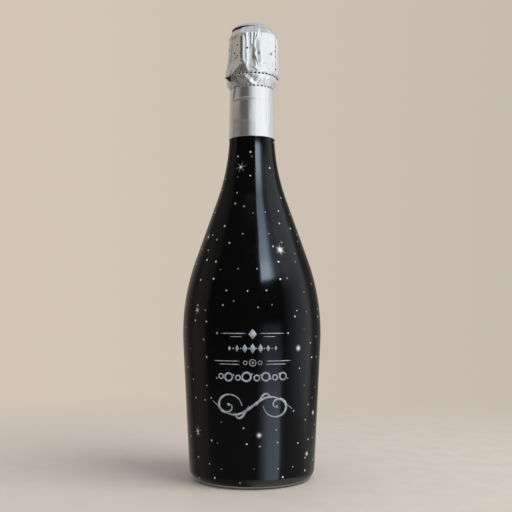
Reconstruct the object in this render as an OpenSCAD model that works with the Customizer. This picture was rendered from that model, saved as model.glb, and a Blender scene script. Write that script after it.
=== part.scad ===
// Sparkling wine bottle with its printed sleeve, foil capsule, wire hood and cork.
// Millimetres. The bottle stands on z = 0, its axis is the z axis and its front looks along -y.

/* [Glass body] */
// Height of the glass, from the base to the mouth
glass_h = 290; // [282:1:300]
// Widest diameter of the glass
body_d = 92.4; // [86:0.1:98]
// Depth of the widest place below the mouth
widest_drop = 192.4; // [187:0.1:198]
// Lean of the body wall below the widest place, in degrees
body_angle = 2.8; // [1:0.1:4]
// Radius of the curve over the widest place
shoulder_r = 143.6; // [120:0.1:160]
// Lean of the straight part of the shoulder, in degrees
shoulder_angle = 19.7; // [18.5:0.1:21]
// Radius of the curve from the shoulder into the neck
neck_blend_r = 141; // [110:1:150]
// Diameter of the neck at the foil skirt's lower edge
neck_d = 29.8; // [28:0.1:31]
// Depth below the mouth at which the neck's diameter is taken
neck_drop = 62; // [58:1:66]
// Taper of the neck on each side, in degrees
neck_angle = 1.3; // [0.5:0.1:1.8]
// Thickness of the glass in the wall
wall_t = 4.2; // [3:0.1:4.4]
// Thickness of the glass over the punt
base_t = 6; // [4:0.1:8]
// Radius of the heel, outside
heel_r = 7; // [4:0.1:9]
// Width of the ring that the bottle stands on, up to the line where the punt starts
foot_w = 5; // [4:0.1:6]
// Height of the punt, the hollow pushed up into the base
punt_h = 27; // [20:1:32]
// Radius that the punt's side would reach at its top, without its round
punt_top_r = 7.9; // [7.2:0.1:9]
// Radius of the round at the punt's top
punt_tip_r = 14; // [10:0.5:14.5]
// Depth of the wine's surface below the mouth
fill_drop = 74; // [65:1:90]

/* [Glass mouth] */
// Bore that holds the cork
bore_d = 17.5; // [16.5:0.1:18.5]
// Length of the straight bore
bore_len = 26; // [25:0.5:30]
// Diameter of the bead at the mouth
bead_d = 28.6; // [27:0.1:29.2]
// Height of the bead
bead_h = 8.5; // [6:0.1:9.5]
// Diameter of the ring below the bead, which the wire hood hooks under
ring_d = 29.6; // [29.2:0.1:31]
// Depth of the ring's underside below the mouth
ring_drop = 20; // [19:0.1:22]
// Height of the ring
ring_h = 7.5; // [6:0.1:8]
// Depth of the groove under the ring, below the neck's surface
groove_depth = 0.5; // [0.3:0.05:0.7]
// Height of the groove under the ring
groove_h = 3.5; // [3.2:0.1:4.5]

/* [Cork] */
// Gap between the cork and the bore
cork_gap = 0.05; // [0.02:0.01:0.08]
// Length of the cork in the neck
stem_len = 24; // [20:0.5:24.5]
// Height of the cork's head above the mouth
head_h = 13.3; // [12.5:0.1:18]
// Diameter of the cork's head
head_d = 28.6; // [27:0.1:29.2]
// Depth of the ledge that the hood's wire presses into the head, below its top
ledge_drop = 6.2; // [5:0.1:7]
// Width of that ledge
ledge_w = 2.5; // [2.3:0.1:3]
// Thickness of each natural cork disc at the lower end
disc_t = 5.6; // [4:0.1:7]

/* [Wire hood] */
// Diameter of the frame wire
frame_wire_d = 0.8; // [0.7:0.05:0.9]
// Diameter of the belt wire
belt_wire_d = 1; // [0.8:0.05:1.1]
// Number of legs
leg_count = 4; // [3:1:5]
// Twists in each leg
leg_turns = 4; // [3:1:5]
// Direction of the first leg, in degrees from +x
leg_angle = 66; // [50:1:75]
// Twists in the tail of the belt
tail_turns = 2; // [1:1:3]
// Direction of the belt's tail, in degrees from +x
tail_angle = 8; // [4:1:14]
// Height of the belt's twisted tail
tail_h = 9.5; // [8:0.1:10.5]
// Height of the loop at the tail's end
loop_h = 8; // [7:0.1:8.5]
// Width of that loop
loop_w = 6.6; // [5:0.1:7]
// Thickness of the plaque's sheet
plaque_t = 0.3; // [0.2:0.05:0.35]
// Radius of the plaque's top edge
plaque_edge_r = 4; // [3:0.1:7]

/* [Sleeve and foil] */
// Thickness of the printed sleeve
sleeve_t = 0.25; // [0.15:0.01:0.3]
// Height of the sleeve's lower edge
sleeve_low_z = 1.3; // [0.8:0.1:2.5]
// Length of the sleeve hidden under the foil
sleeve_tuck = 8; // [4:1:12]
// Thickness of the foil
foil_t = 0.25; // [0.15:0.01:0.3]
// Length of the foil skirt below the tear strip
skirt_len = 33.5; // [28:0.5:38]
// Width of the skirt's glued overlap at the back
seam_w = 6; // [3:0.1:10]
// Height of the tear strip
strip_h = 7.6; // [7:0.1:8]
// Distance between the perforations along the foil
hole_pitch = 2.7; // [2.2:0.1:4]
// Length of a perforation along the foil
hole_w = 1.1; // [0.6:0.1:1.4]
// Height of a perforation
hole_h = 0.7; // [0.4:0.1:0.9]
// Depth of the foil's crumples
crumple = 0.45; // [0.2:0.05:0.6]
// Number of pleats round the crown
pleat_count = 19; // [15:1:24]
// Length of the black pull tab
tab_len = 11; // [9:0.1:13]
// Height of the black pull tab and of its tape
tab_h = 3.8; // [3:0.1:4.2]
// Thickness of the pull tab
tab_t = 0.3; // [0.2:0.05:0.35]
// Direction of the pull tab's root, in degrees from +x
tab_angle = 231; // [222:1:240]
// Rise of the pull tab towards its free end, in degrees
tab_rise_angle = 17; // [10:1:20]

/* [Hidden] */

// Facets of the turned shapes, and the gap allowed between an arc and its chords
$fn = 96;
chord_gap = 0.02;
// Gaps between neighbouring pieces
skin_gap = 0.05;
wire_gap = 0.1;
seat_gap = 0.15;
foil_gap = 0.15;
wine_gap = 0.1;
// How far a cutting shape runs past what it cuts
overrun = 1;

// Radii of the small rounds on the glass
foot_round = 2.6;
valley_round = 5;
groove_round = 1.6;
groove_slope = 1.5;
ring_round = 0.7;
ring_slope = 1.6;
recess_depth = 0.9;
bead_round = 1.6;
bead_slope = 0.6;
mouth_round = 0.8;
bore_slope = 5;
bore_round = 6;

// Rounds on the cork
stem_chamfer = 0.6;
head_round = 3.4;
shoulder_round = 2.2;
dome_round = 3.4;

// Points and lines. A line is a point and a direction in degrees, and the air is on its right.
function along(a) = [cos(a), sin(a)];
function unit(v) = v / norm(v);
function mix(a, b, t) = a + (b - a) * t;
function moved(line, e) = [line[0] + e * along(line[1] - 90), line[1]];
function cross2(a, b) = a[0] * b[1] - a[1] * b[0];
function meet(a, b) =
  a[0] + along(a[1]) * cross2(b[0] - a[0], along(b[1])) / cross2(along(a[1]), along(b[1]));
function at_height(line, z) = meet(line, [[0, z], 0]);
function corner(p, r) = [p[0], p[1], r];
function xy(p) = [p[0], p[1]];

// Chords on an arc of radius r that turns through an angle
function chords(r, turn) = max(2, ceil(abs(turn) / (2 * acos(max(0.5, 1 - chord_gap / r)))));

// The arc that rounds the corner q between p and s, with the radius that q holds
function fillet(p, q, s) =
  q[2] <= 0 ? [xy(q)] :
  let (
    u = unit(xy(p) - xy(q)),
    v = unit(xy(s) - xy(q)),
    half = acos(max(-1, min(1, u * v))) / 2,
    c = xy(q) + unit(u + v) * q[2] / sin(half),
    a = xy(q) + u * q[2] / tan(half) - c,
    turn = (180 - 2 * half) * sign(cross2(-u, v)),
    start = atan2(a[1], a[0]),
    n = chords(q[2], turn)
  )
  [for (i = [0:n]) c + q[2] * along(start + turn * i / n)];

// An outline through corners [x, y, radius], each rounded by its arc
function rounded(c) =
  let (n = len(c))
  [
    xy(c[0]),
    for (i = [1:n - 2]) each fillet(c[i - 1], c[i], c[i + 1]),
    xy(c[n - 1])
  ];

// Straight lines of the glass's outside
body_r = body_d / 2;
widest_z = glass_h - widest_drop;
neck_z = glass_h - neck_drop;
fill_z = glass_h - fill_drop;
shoulder_c = [body_r - shoulder_r, widest_z];
base_line = [[0, 0], 0];
body_line = [shoulder_c + shoulder_r * along(-body_angle), 90 - body_angle];
shoulder_line = [shoulder_c + shoulder_r * along(shoulder_angle), 90 + shoulder_angle];
neck_line = [[neck_d / 2, neck_z], 90 + neck_angle];

// The foot's inner edge, and the punt's lines
foot_out_r = meet(base_line, body_line)[0] - heel_r * tan(45 + body_angle / 2);
foot_in_r = foot_out_r - foot_w;
punt_angle = atan2(punt_h, foot_in_r - punt_top_r);
punt_line = [[foot_in_r, 0], -punt_angle];
// The round at the punt's top ends before the axis
tip_round = min(punt_tip_r, (punt_top_r - chord_gap) / tan(punt_angle / 2));
tip_line = [[0, punt_h], 0];

// Levels of the mouth, measured down from the glass's top
ring_z = glass_h - ring_drop;
bead_z = glass_h - bead_h;
bore_r = bore_d / 2;
bead_r = bead_d / 2;
ring_r = ring_d / 2;
recess_r = bead_r - recess_depth;
groove_low_z = ring_z - groove_h;
groove_r = at_height(neck_line, ring_z)[0] - groove_depth;

// Corners of the outside from the heel to the neck, moved out by e
function side_corners(e) = [
  corner(meet(moved(base_line, e), moved(body_line, e)), heel_r + e),
  corner(meet(moved(body_line, e), moved(shoulder_line, e)), shoulder_r + e),
  corner(meet(moved(shoulder_line, e), moved(neck_line, e)), neck_blend_r - e)
];

// Corners of the cavity from the neck down to the axis, drawn in by e
function cavity_corners(e) =
  let (
    body = moved(body_line, -wall_t - e),
    shoulder = moved(shoulder_line, -wall_t - e),
    neck = moved(neck_line, -wall_t - e),
    punt = moved(punt_line, -base_t - e),
    tip = moved(tip_line, -base_t - e)
  )
  [
    corner(at_height(neck, glass_h - bore_len - bore_slope), bore_round),
    corner(meet(shoulder, neck), neck_blend_r + wall_t + e),
    corner(meet(body, shoulder), shoulder_r - wall_t - e),
    corner(meet(body, punt), valley_round),
    corner(meet(punt, tip), tip_round + base_t + e),
    corner(tip[0], 0)
  ];

// The mouth's outside from the neck up, and its bore down
mouth_corners = [
  corner(at_height(neck_line, groove_low_z - groove_slope), groove_round),
  corner([groove_r, groove_low_z], groove_round),
  corner([groove_r, ring_z], ring_round / 2),
  corner([ring_r, ring_z], ring_round),
  corner([ring_r, ring_z + ring_h - ring_slope], ring_slope),
  corner([recess_r, ring_z + ring_h], recess_depth),
  corner([recess_r, bead_z - bead_slope], bead_slope / 2),
  corner([bead_r, bead_z], bead_slope),
  corner([bead_r, glass_h], bead_round),
  corner([bore_r, glass_h], mouth_round),
  corner([bore_r, glass_h - bore_len], bore_round)
];

module glass_bottle() {
  color("#1d3320")
    rotate_extrude()
      polygon(rounded(concat(
        [corner(tip_line[0], 0)],
        [corner(meet(tip_line, punt_line), tip_round)],
        [corner(meet(punt_line, base_line), foot_round)],
        side_corners(0),
        mouth_corners,
        cavity_corners(0)
      )));
}

// The wine fills the cavity up to its surface
module wine() {
  inside = cavity_corners(wine_gap);
  color("#c9b25a")
    rotate_extrude()
      intersection() {
        polygon(rounded(concat([corner([0, glass_h], 0), corner([inside[0][0], glass_h], 0)], inside)));
        square([body_r, fill_z]);
      }
}

// The area between the outside moved out by e and by e + t, from one height to another
module skin(e, t, low, high) {
  end = [0, glass_h];
  intersection() {
    difference() {
      polygon(rounded(concat(
        [[0, -e - t, 0]], side_corners(e + t), [corner(at_height(moved(neck_line, e + t), glass_h), 0)],
        [corner(end, 0)]
      )));
      polygon(rounded(concat(
        [[0, -e, 0]], side_corners(e), [corner(at_height(moved(neck_line, e), glass_h), 0)],
        [corner(end, 0)]
      )));
    }
    translate([0, low])
      square([body_d, high - low]);
  }
}

// Places of the capsule's parts along the neck
belt_eye_r = belt_wire_d / 2 + wire_gap + frame_wire_d / 2;
belt_z = ring_z - belt_eye_r - frame_wire_d / 2 - skin_gap;
belt_r = groove_r + seat_gap + frame_wire_d + wire_gap + belt_wire_d / 2;
strip_high_z = belt_z + frame_wire_d / 2;
strip_low_z = strip_high_z - strip_h;
skirt_low_z = strip_low_z - skirt_len;

module printed_sleeve() {
  color("#0b0b0d")
    rotate_extrude()
      skin(skin_gap, sleeve_t, sleeve_low_z, skirt_low_z + sleeve_tuck);
}

// Perforations: small hexagonal holes round the z axis, at one height and radius, tips up,
// so that a hole on the foil's edge meets it with its upright sides
module perforations(r, z) {
  count = floor(2 * PI * r / hole_pitch);
  for (i = [0:count - 1])
    rotate(360 * i / count)
      translate([r, 0, z])
        rotate([0, 90, 0])
          linear_extrude(4 * overrun, center = true)
            polygon([for (k = [0:5]) [hole_h / 2 * cos(60 * k), hole_w / 2 * sin(60 * k) / sin(60)]]);
}

// The skirt lies over the sleeve's top, and its overlap is a second layer of foil at the back
skirt_e = skin_gap + sleeve_t + skin_gap;
skirt_top_r = at_height(moved(neck_line, skirt_e + foil_t), strip_low_z)[0];

module foil_skirt() {
  seam_turn = 360 * seam_w / (2 * PI * skirt_top_r);
  color("#c3c4c4")
    difference() {
      union() {
        rotate_extrude()
          skin(skirt_e, foil_t, skirt_low_z, strip_low_z);
        rotate(90)
          rotate_extrude(angle = seam_turn)
            skin(skirt_e + foil_t / 2, foil_t, skirt_low_z, strip_low_z - hole_h);
      }
      perforations(skirt_top_r, strip_low_z);
    }
}

// Radius of the legs, which stand off the widest of the ring, the bead and the cork's head
pair_r = frame_wire_d / 2 + wire_gap / 2;
pair_out = pair_r + frame_wire_d / 2;
seat_r = max(ring_r, bead_r, head_d / 2);
leg_r = seat_r + seat_gap + pair_out;

// The strip's outside swells from the skirt to the crown along a Bezier curve
strip_top_r = max(belt_r + belt_eye_r + frame_wire_d / 2, leg_r + pair_out) + foil_gap + foil_t + skin_gap;
strip_rows = 10;
strip_hold_share = 0.3;
strip_swell_share = 0.45;
function bezier(p, t) =
  p[0] * pow(1 - t, 3) + 3 * p[1] * pow(1 - t, 2) * t + 3 * p[2] * (1 - t) * pow(t, 2) + p[3] * pow(t, 3);
function strip_curve(e) = [
  [skirt_top_r + e, strip_low_z],
  [skirt_top_r + e, strip_low_z + strip_hold_share * strip_h],
  [strip_top_r + e, strip_low_z + strip_swell_share * strip_h],
  [strip_top_r + e, strip_high_z]
];

module band(e, t, low_share, high_share) {
  rotate_extrude()
    polygon(concat(
      [for (i = [0:strip_rows]) bezier(strip_curve(e), mix(low_share, high_share, i / strip_rows))],
      [for (i = [strip_rows:-1:0]) bezier(strip_curve(e - t), mix(low_share, high_share, i / strip_rows))]
    ));
}

// The slit that the pull tab comes out of
slit_w = 3 * tab_t;
tab_low_share = 0.3;
tab_high_share = 0.86;

module tear_strip() {
  color("#b9babb")
    difference() {
      band(0, foil_t, 0, 1);
      perforations(skirt_top_r, strip_low_z);
      perforations(strip_top_r, strip_high_z);
      rotate(tab_angle)
        translate([skirt_top_r - overrun, -slit_w / 2, bezier(strip_curve(0), tab_low_share)[1]])
          cube([4 * overrun + foil_t, slit_w, tab_h]);
    }
}

module tear_tape() {
  color("#141414")
    band(-foil_t - skin_gap / 2, tab_t / 2, tab_low_share, tab_high_share);
}

// The tab is a strip that spirals off the foil from its root to its free end
tab_r = strip_top_r + foil_gap + foil_t + tab_t;
tab_spring = 1.1;
tab_chords = 12;
tab_low_z = strip_high_z - 0.9 * tab_h;
function tab_point(t, e) =
  let (r = tab_r + tab_spring * pow(t, 2) + e, a = tab_angle - 360 * tab_len * t / (2 * PI * tab_r))
  r * along(a);

module pull_tab() {
  color("#141414")
    intersection() {
      translate([0, 0, belt_z - 2 * tab_h])
        linear_extrude(4 * tab_h)
          polygon(concat(
            [for (i = [0:tab_chords]) tab_point(i / tab_chords, tab_t / 2)],
            [for (i = [tab_chords:-1:0]) tab_point(i / tab_chords, -tab_t / 2)]
          ));
      rotate(tab_angle)
        translate([tab_r - 2 * tab_len, 0, tab_low_z])
          rotate([-tab_rise_angle, 0, 0])
            translate([0, -2 * tab_len, 0])
              cube([3 * tab_len, 3 * tab_len, tab_h]);
    }
}

// The hood's plaque caps the cork, and its rim takes in the wire ring on the cork's ledge
head_top_z = glass_h + head_h;
ledge_z = head_top_z - ledge_drop;
neck_of_head_r = head_d / 2 - ledge_w;
top_ring_r = neck_of_head_r + wire_gap + frame_wire_d / 2;
top_ring_z = ledge_z + wire_gap + frame_wire_d / 2;
plaque_in_r = top_ring_r + frame_wire_d / 2 + wire_gap;
plaque_low_z = ledge_z + 2 * wire_gap;
plaque_top_z = head_top_z + wire_gap + plaque_t;
leave_step = 1.7;
notch_w = 2 * (leave_step + frame_wire_d);

module plaque_area(e) {
  polygon(rounded([
    [0, plaque_low_z - overrun, 0],
    [plaque_in_r + e, plaque_low_z - overrun, 0],
    [plaque_in_r + e, head_top_z + wire_gap + e, plaque_edge_r + e],
    [0, head_top_z + wire_gap + e, 0]
  ]));
}

module hood_plaque() {
  color("#a9aaa8")
    difference() {
      rotate_extrude()
        intersection() {
          difference() {
            plaque_area(plaque_t);
            plaque_area(0);
          }
          translate([0, plaque_low_z])
            square([head_d, head_h]);
        }
      for (i = [0:leg_count - 1])
        rotate(leg_angle + 360 * i / leg_count)
          translate([neck_of_head_r, -notch_w / 2, plaque_low_z - overrun])
            cube([ledge_w + overrun, notch_w, overrun + frame_wire_d + 3 * wire_gap]);
    }
}

module cork_body() {
  color("#c8a878")
    rotate_extrude()
      polygon(rounded([
        [0, glass_h - stem_len + 2 * disc_t, 0],
        [bore_r - cork_gap, glass_h - stem_len + 2 * disc_t, 0],
        [bore_r - cork_gap, glass_h, 0],
        [head_d / 2, glass_h, head_round],
        [head_d / 2, ledge_z, shoulder_round],
        [neck_of_head_r, ledge_z, 0],
        [neck_of_head_r, head_top_z, dome_round],
        [0, head_top_z, 0]
      ]));
}

module cork_disc_upper() {
  color("#b98f5c")
    translate([0, 0, glass_h - stem_len + disc_t])
      cylinder(h = disc_t, r = bore_r - cork_gap);
}

module cork_disc_lower() {
  r = bore_r - cork_gap;
  color("#ad8352")
    translate([0, 0, glass_h - stem_len])
      rotate_extrude()
        polygon([[0, 0], [r - stem_chamfer, 0], [r, stem_chamfer], [r, disc_t], [0, disc_t]]);
}

// Wires. A point of a wire is made from a direction round the axis, a radius and a height,
// and a sideways step at right angles to that direction. Slopes are written the same way.
function spot(a, r, z, side = 0) = [r * cos(a) - side * sin(a), r * sin(a) + side * cos(a), z];

// Hermite curve from p with slope m to q with slope n, without its last point
function curve(p, m, q, n, count) = [
  for (i = [0:count - 1])
    let (t = i / count, u = 1 - t)
    p * (1 + 2 * t) * u * u + m * t * u * u + q * t * t * (3 - 2 * t) - n * t * t * u
];

// The tube round a closed path. Its rings are carried along without turning, and the turn
// that is left over at the end is shared out along the path.
function carried(u, t) = unit(u - (u * t) * t);
function directions(path) =
  let (n = len(path))
  [for (i = [0:n - 1]) unit(path[(i + 1) % n] - path[(i + n - 1) % n])];

module closed_tube(path, d, sides) {
  n = len(path);
  t = directions(path);
  first = unit(cross(t[0], abs(t[0][2]) < 0.9 ? [0, 0, 1] : [1, 0, 0]));
  u = [for (i = 0, v = first; i <= n; i = i + 1, v = carried(v, t[i % n])) v];
  left = atan2(cross(u[0], u[n]) * t[0], u[0] * u[n]);
  rings = [
    for (i = [0:n - 1], k = [0:sides - 1])
      let (a = 360 * k / sides - left * i / n)
      path[i] + d / 2 * (u[i] * cos(a) + cross(t[i], u[i]) * sin(a))
  ];
  function id(i, k) = (i % n) * sides + k % sides;
  polyhedron(rings, [
    for (i = [0:n - 1], k = [0:sides - 1])
      each [
        [id(i, k), id(i + 1, k), id(i + 1, k + 1)],
        [id(i, k), id(i + 1, k + 1), id(i, k + 1)]
      ]
  ], 6);
}

// Heights of a leg's twist, and how far from it the wire leaves the top ring
twist_high_z = ledge_z - 1.3 * shoulder_round;
twist_low_z = ring_z + frame_wire_d;
leave_angle = asin(leave_step / top_ring_r);
rings_per_turn = 8;
wire_sides = 6;

// A strand of the twist in direction a: phase 0 is outermost at the bottom
function strand(a, phase, share) =
  let (
    turn = phase + (360 * leg_turns + 90) * share,
    z = mix(twist_low_z, twist_high_z, share)
  )
  spot(a, leg_r + pair_r * cos(turn), z, pair_r * sin(turn));
strand_rings = rings_per_turn * leg_turns + 2;
strand_slope = (twist_high_z - twist_low_z) / leg_turns / 2;

// The way down from the top ring over the cork's shoulder, on the side given by its sign
over_r = head_d / 2 - frame_wire_d / 4;
over_z = ledge_z + wire_gap + 0.6 * frame_wire_d;
function leg_start(a, s) =
  let (
    ring_a = a + s * leave_angle,
    off = spot(ring_a, top_ring_r, top_ring_z),
    off_slope = spot(ring_a, 0, 0, -s * 1.6 * leave_step),
    over = spot(a, over_r, over_z, s * 1.2 * pair_r),
    over_slope = spot(a, 1.2 * leave_step, -0.6 * leave_step, -s * 0.1 * leave_step),
    top = spot(a, leg_r, twist_high_z, s * pair_r),
    top_slope = spot(a, 0, -strand_slope)
  )
  concat(curve(off, off_slope, over, over_slope, 4), curve(over, over_slope, top, top_slope, 4));

function reversed(list) = [for (i = [len(list) - 1:-1:0]) list[i]];

// The eye goes round the belt, from the inner strand's end to the outer strand's end
eye_open_angle = 50;
eye_rings = 9;
function eye_point(a, turn) = spot(a, belt_r + belt_eye_r * cos(turn), belt_z + belt_eye_r * sin(turn));
function eye_slope(a, turn, size) = spot(a, -size * sin(turn), size * cos(turn));
function eye(a) =
  let (
    inner = strand(a, 180, 0),
    outer = strand(a, 0, 0),
    down = spot(a, 0, -1.5 * belt_eye_r),
    from = 90 + eye_open_angle / 2,
    to = 360 + eye_open_angle / 2
  )
  concat(
    curve(inner, down, eye_point(a, from), eye_slope(a, from, 1.2 * belt_eye_r), 3),
    [for (i = [0:eye_rings - 1]) eye_point(a, mix(from, to, i / eye_rings))],
    curve(eye_point(a, to), eye_slope(a, to, belt_eye_r), outer, -down, 2)
  );

// One leg: down one strand, round the eye and up the other strand
function leg(a) = concat(
  leg_start(a, -1),
  [for (i = [strand_rings:-1:1]) strand(a, 180, i / strand_rings)],
  eye(a),
  [for (i = [0:strand_rings]) strand(a, 0, i / strand_rings)],
  reversed(leg_start(a, 1))
);

arc_rings = 7;
function top_arc(a) = [
  for (i = [1:arc_rings - 1])
    spot(mix(a + leave_angle, a + 360 / leg_count - leave_angle, i / arc_rings), top_ring_r, top_ring_z)
];

module hood_frame_wire() {
  path = [
    for (i = [0:leg_count - 1])
      let (a = leg_angle + 360 * i / leg_count)
      each concat(leg(a), top_arc(a))
  ];
  color("#8d8f90")
    closed_tube(path, frame_wire_d, wire_sides);
}

// The belt: its two ends are twisted together, turned up and joined in a loop
tail_pair_r = belt_wire_d / 2 + wire_gap / 2;
tail_r = seat_r + seat_gap + tail_pair_r + belt_wire_d / 2;
tail_low_z = belt_z + 1.8 * belt_wire_d;
tail_high_z = tail_low_z + tail_h;
loop_r = seat_r + seat_gap + belt_wire_d / 2;
belt_gap_angle = asin(2.2 * belt_wire_d / belt_r);
belt_rings = 40;
tail_rings = rings_per_turn * tail_turns;
function tail_strand(phase, share) =
  let (turn = phase + 360 * tail_turns * share)
  spot(
    tail_angle,
    tail_r + tail_pair_r * sin(turn),
    mix(tail_low_z, tail_high_z, share),
    tail_pair_r * cos(turn)
  );

module hood_belt_wire() {
  a = tail_angle;
  start = spot(a + belt_gap_angle, belt_r, belt_z);
  end = spot(a - belt_gap_angle, belt_r, belt_z);
  up = spot(a, 0, 2 * belt_wire_d);
  loop_top = spot(a, loop_r, tail_high_z + loop_h);
  right = spot(a, loop_r, tail_high_z + 0.55 * loop_h, loop_w / 2 - belt_wire_d / 2);
  left = spot(a, loop_r, tail_high_z + 0.55 * loop_h, -loop_w / 2 + belt_wire_d / 2);
  across = spot(a, 0, 0, -1.1 * loop_w);
  rise = spot(a, 0, 0.8 * loop_h);
  path = concat(
    [
      for (i = [0:belt_rings - 1])
        spot(mix(a + belt_gap_angle, a + 360 - belt_gap_angle, i / belt_rings), belt_r, belt_z)
    ],
    curve(end, spot(a - belt_gap_angle, 0, 0, 3 * belt_wire_d), tail_strand(180, 0), up, 4),
    [for (i = [0:tail_rings - 1]) tail_strand(180, i / tail_rings)],
    curve(tail_strand(180, 1), rise / 2, left, rise, 4),
    curve(left, rise, loop_top, -across, 4),
    curve(loop_top, -across, right, -rise, 4),
    curve(right, -rise, tail_strand(0, 1), -rise / 2, 4),
    [for (i = [tail_rings:-1:1]) tail_strand(0, i / tail_rings)],
    curve(tail_strand(0, 0), -up, start, spot(a + belt_gap_angle, 0, 0, 3 * belt_wire_d), 4)
  );
  color("#9b9d9e")
    closed_tube(path, belt_wire_d, wire_sides);
}

// The crown's foil. Its section runs from the torn edge up the side, over the shoulder,
// along the plaque and onto its top, once between the legs and once over a leg.
crown_low_z = strip_high_z + foil_gap + skin_gap;
crown_side_r = strip_top_r;
crown_slack = 1.1;
crown_neck_r = seat_r + crown_slack;
between_round = 1.1;
over_leg_round = 3;
dome_r = plaque_in_r + plaque_t + foil_gap + foil_t;
dome_top_z = plaque_top_z + foil_gap + foil_t;
dome_edge_r = plaque_edge_r + plaque_t + foil_gap + foil_t;
dome_c = [dome_r - dome_edge_r, dome_top_z - dome_edge_r];
function dome_point(a, e) = dome_c + (dome_edge_r + e) * along(a);
crown_hole_r = 0.6 * dome_c[0];
step_rise = 0.4;
side_rows = 7;
shoulder_rows = 3;
dome_rows = 5;
straight_share = 0.25;
function ease(t) = t * t * (3 - 2 * t);
function drawn_in(t) = ease(max(0, (t - straight_share) / (1 - straight_share)));

function section(low_r, high_r, top_z, round_r, e) =
  let (r = round_r + e, step_angle = asin(max(0, top_z + step_rise - dome_c[1]) / dome_edge_r))
  concat(
    [
      for (i = [0:side_rows - 1])
        let (t = i / side_rows)
        [mix(low_r, high_r, drawn_in(t)) + e, mix(crown_low_z, top_z - round_r, t)]
    ],
    [
      for (i = [0:shoulder_rows])
        [high_r - round_r, top_z - round_r] + r * along(90 * i / shoulder_rows)
    ],
    [mix([high_r - round_r, top_z + e], dome_point(step_angle, e), 0.5)],
    [for (i = [0:dome_rows]) dome_point(mix(step_angle, 90, i / dome_rows), e)],
    [[crown_hole_r, dome_top_z + e]]
  );

leg_top_z = over_z + frame_wire_d / 2 + 3 * foil_gap + foil_t;
between_z = ledge_z + foil_gap + foil_t;
between = [for (e = [0, -foil_t]) section(crown_side_r, crown_neck_r, between_z, between_round, e)];
over_leg_r = leg_r + pair_out + foil_gap + foil_t;
over_leg = [for (e = [0, -foil_t]) section(crown_side_r, over_leg_r, leg_top_z, over_leg_round, e)];
crown_rows = len(between[0]);
crown_columns = 76;

// How much of the leg's section shows in a direction, and of the bulge over the belt's tail.
// A higher power makes a narrower fold.
leg_power = 3;
tail_power = 40;
function leg_share(a) = pow((1 + cos(leg_count * (a - leg_angle))) / 2, leg_power);
function tail_share(a) = pow((1 + cos(a - tail_angle)) / 2, tail_power);
tail_bulge = tail_r + tail_pair_r + belt_wire_d / 2 + foil_gap + foil_t - crown_side_r + seat_gap;

// The crumples are sharp pleats and two sets of soft folds that lean opposite ways,
// each with its share of the depth, its count round the crown and its turn from row to row
pleat_share = 0.45;
fold_shares = [0.3, 0.25];
fold_counts = [5, 11];
row_turns = [9, 41, -67];
function pleat(a, row) =
  crumple * (
    pleat_share * (1 - abs(sin(pleat_count * a / 2 + row_turns[0] * row)))
    + fold_shares[0] * (1 + sin(fold_counts[0] * a + row_turns[1] * row)) / 2
    + fold_shares[1] * (1 + sin(fold_counts[1] * a + row_turns[2] * row)) / 2
  );
side_share = [for (i = [0:crown_rows - 1]) i < side_rows + shoulder_rows ? 1 : 0];
bulge_share = [for (i = [0:crown_rows - 1]) i < 4 ? 1 : i < side_rows ? 0.8 : i == side_rows ? 0.4 : 0];
function crown_point(layer, row, a) =
  let (
    w = leg_share(a),
    p = mix(between[layer][row], over_leg[layer][row], w),
    out = side_share[row] * pleat(a, row) + bulge_share[row] * tail_share(a) * tail_bulge
  )
  [(p[0] + out) * cos(a), (p[0] + out) * sin(a), p[1]];

module foil_crown() {
  n = crown_columns;
  rows = crown_rows;
  points = [
    for (layer = [0, 1], row = [0:rows - 1], i = [0:n - 1])
      crown_point(layer, row, 360 * i / n)
  ];
  function id(layer, row, i) = (layer * rows + row) * n + i % n;
  function quad(a, b, c, d) = [[a, b, c], [a, c, d]];
  faces = [
    for (i = [0:n - 1])
      each concat(
        [
          for (row = [0:rows - 2])
            each concat(
              quad(id(0, row, i), id(0, row + 1, i), id(0, row + 1, i + 1), id(0, row, i + 1)),
              quad(id(1, row, i), id(1, row, i + 1), id(1, row + 1, i + 1), id(1, row + 1, i))
            )
        ],
        quad(id(0, 0, i), id(0, 0, i + 1), id(1, 0, i + 1), id(1, 0, i)),
        quad(id(0, rows - 1, i), id(1, rows - 1, i), id(1, rows - 1, i + 1), id(0, rows - 1, i + 1))
      )
  ];
  color("#cfd0d1")
    polyhedron(points, faces, 6);
}

module disc_area(e) {
  polygon(rounded([
    [0, dome_top_z - dome_edge_r, 0],
    [dome_r + e, dome_top_z - dome_edge_r, 0],
    [dome_r + e, dome_top_z + e, dome_edge_r + e],
    [0, dome_top_z + e, 0]
  ]));
}

module foil_top_disc() {
  color("#d4d5d6")
    rotate_extrude()
      intersection() {
        difference() {
          disc_area(skin_gap + foil_t / 2);
          disc_area(skin_gap);
        }
        translate([0, leg_top_z + step_rise + foil_gap])
          square([head_d, head_h]);
      }
}

glass_bottle();
wine();
printed_sleeve();
foil_skirt();
tear_strip();
tear_tape();
pull_tab();
foil_crown();
foil_top_disc();
hood_plaque();
hood_frame_wire();
hood_belt_wire();
cork_body();
cork_disc_upper();
cork_disc_lower();
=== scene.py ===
"""The looks of the sparkling wine bottle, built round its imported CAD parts.

Lengths are millimetres until a mesh is made, when they become metres. The bottle's axis is
the z axis and its front looks along -y. Azimuths are degrees from +x, counter-clockwise
from above, as in the CAD; bearings are degrees from the front, positive to the right.
"""
import logging
import math
from dataclasses import dataclass, field
from enum import Enum
from typing import Callable, Sequence

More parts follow.
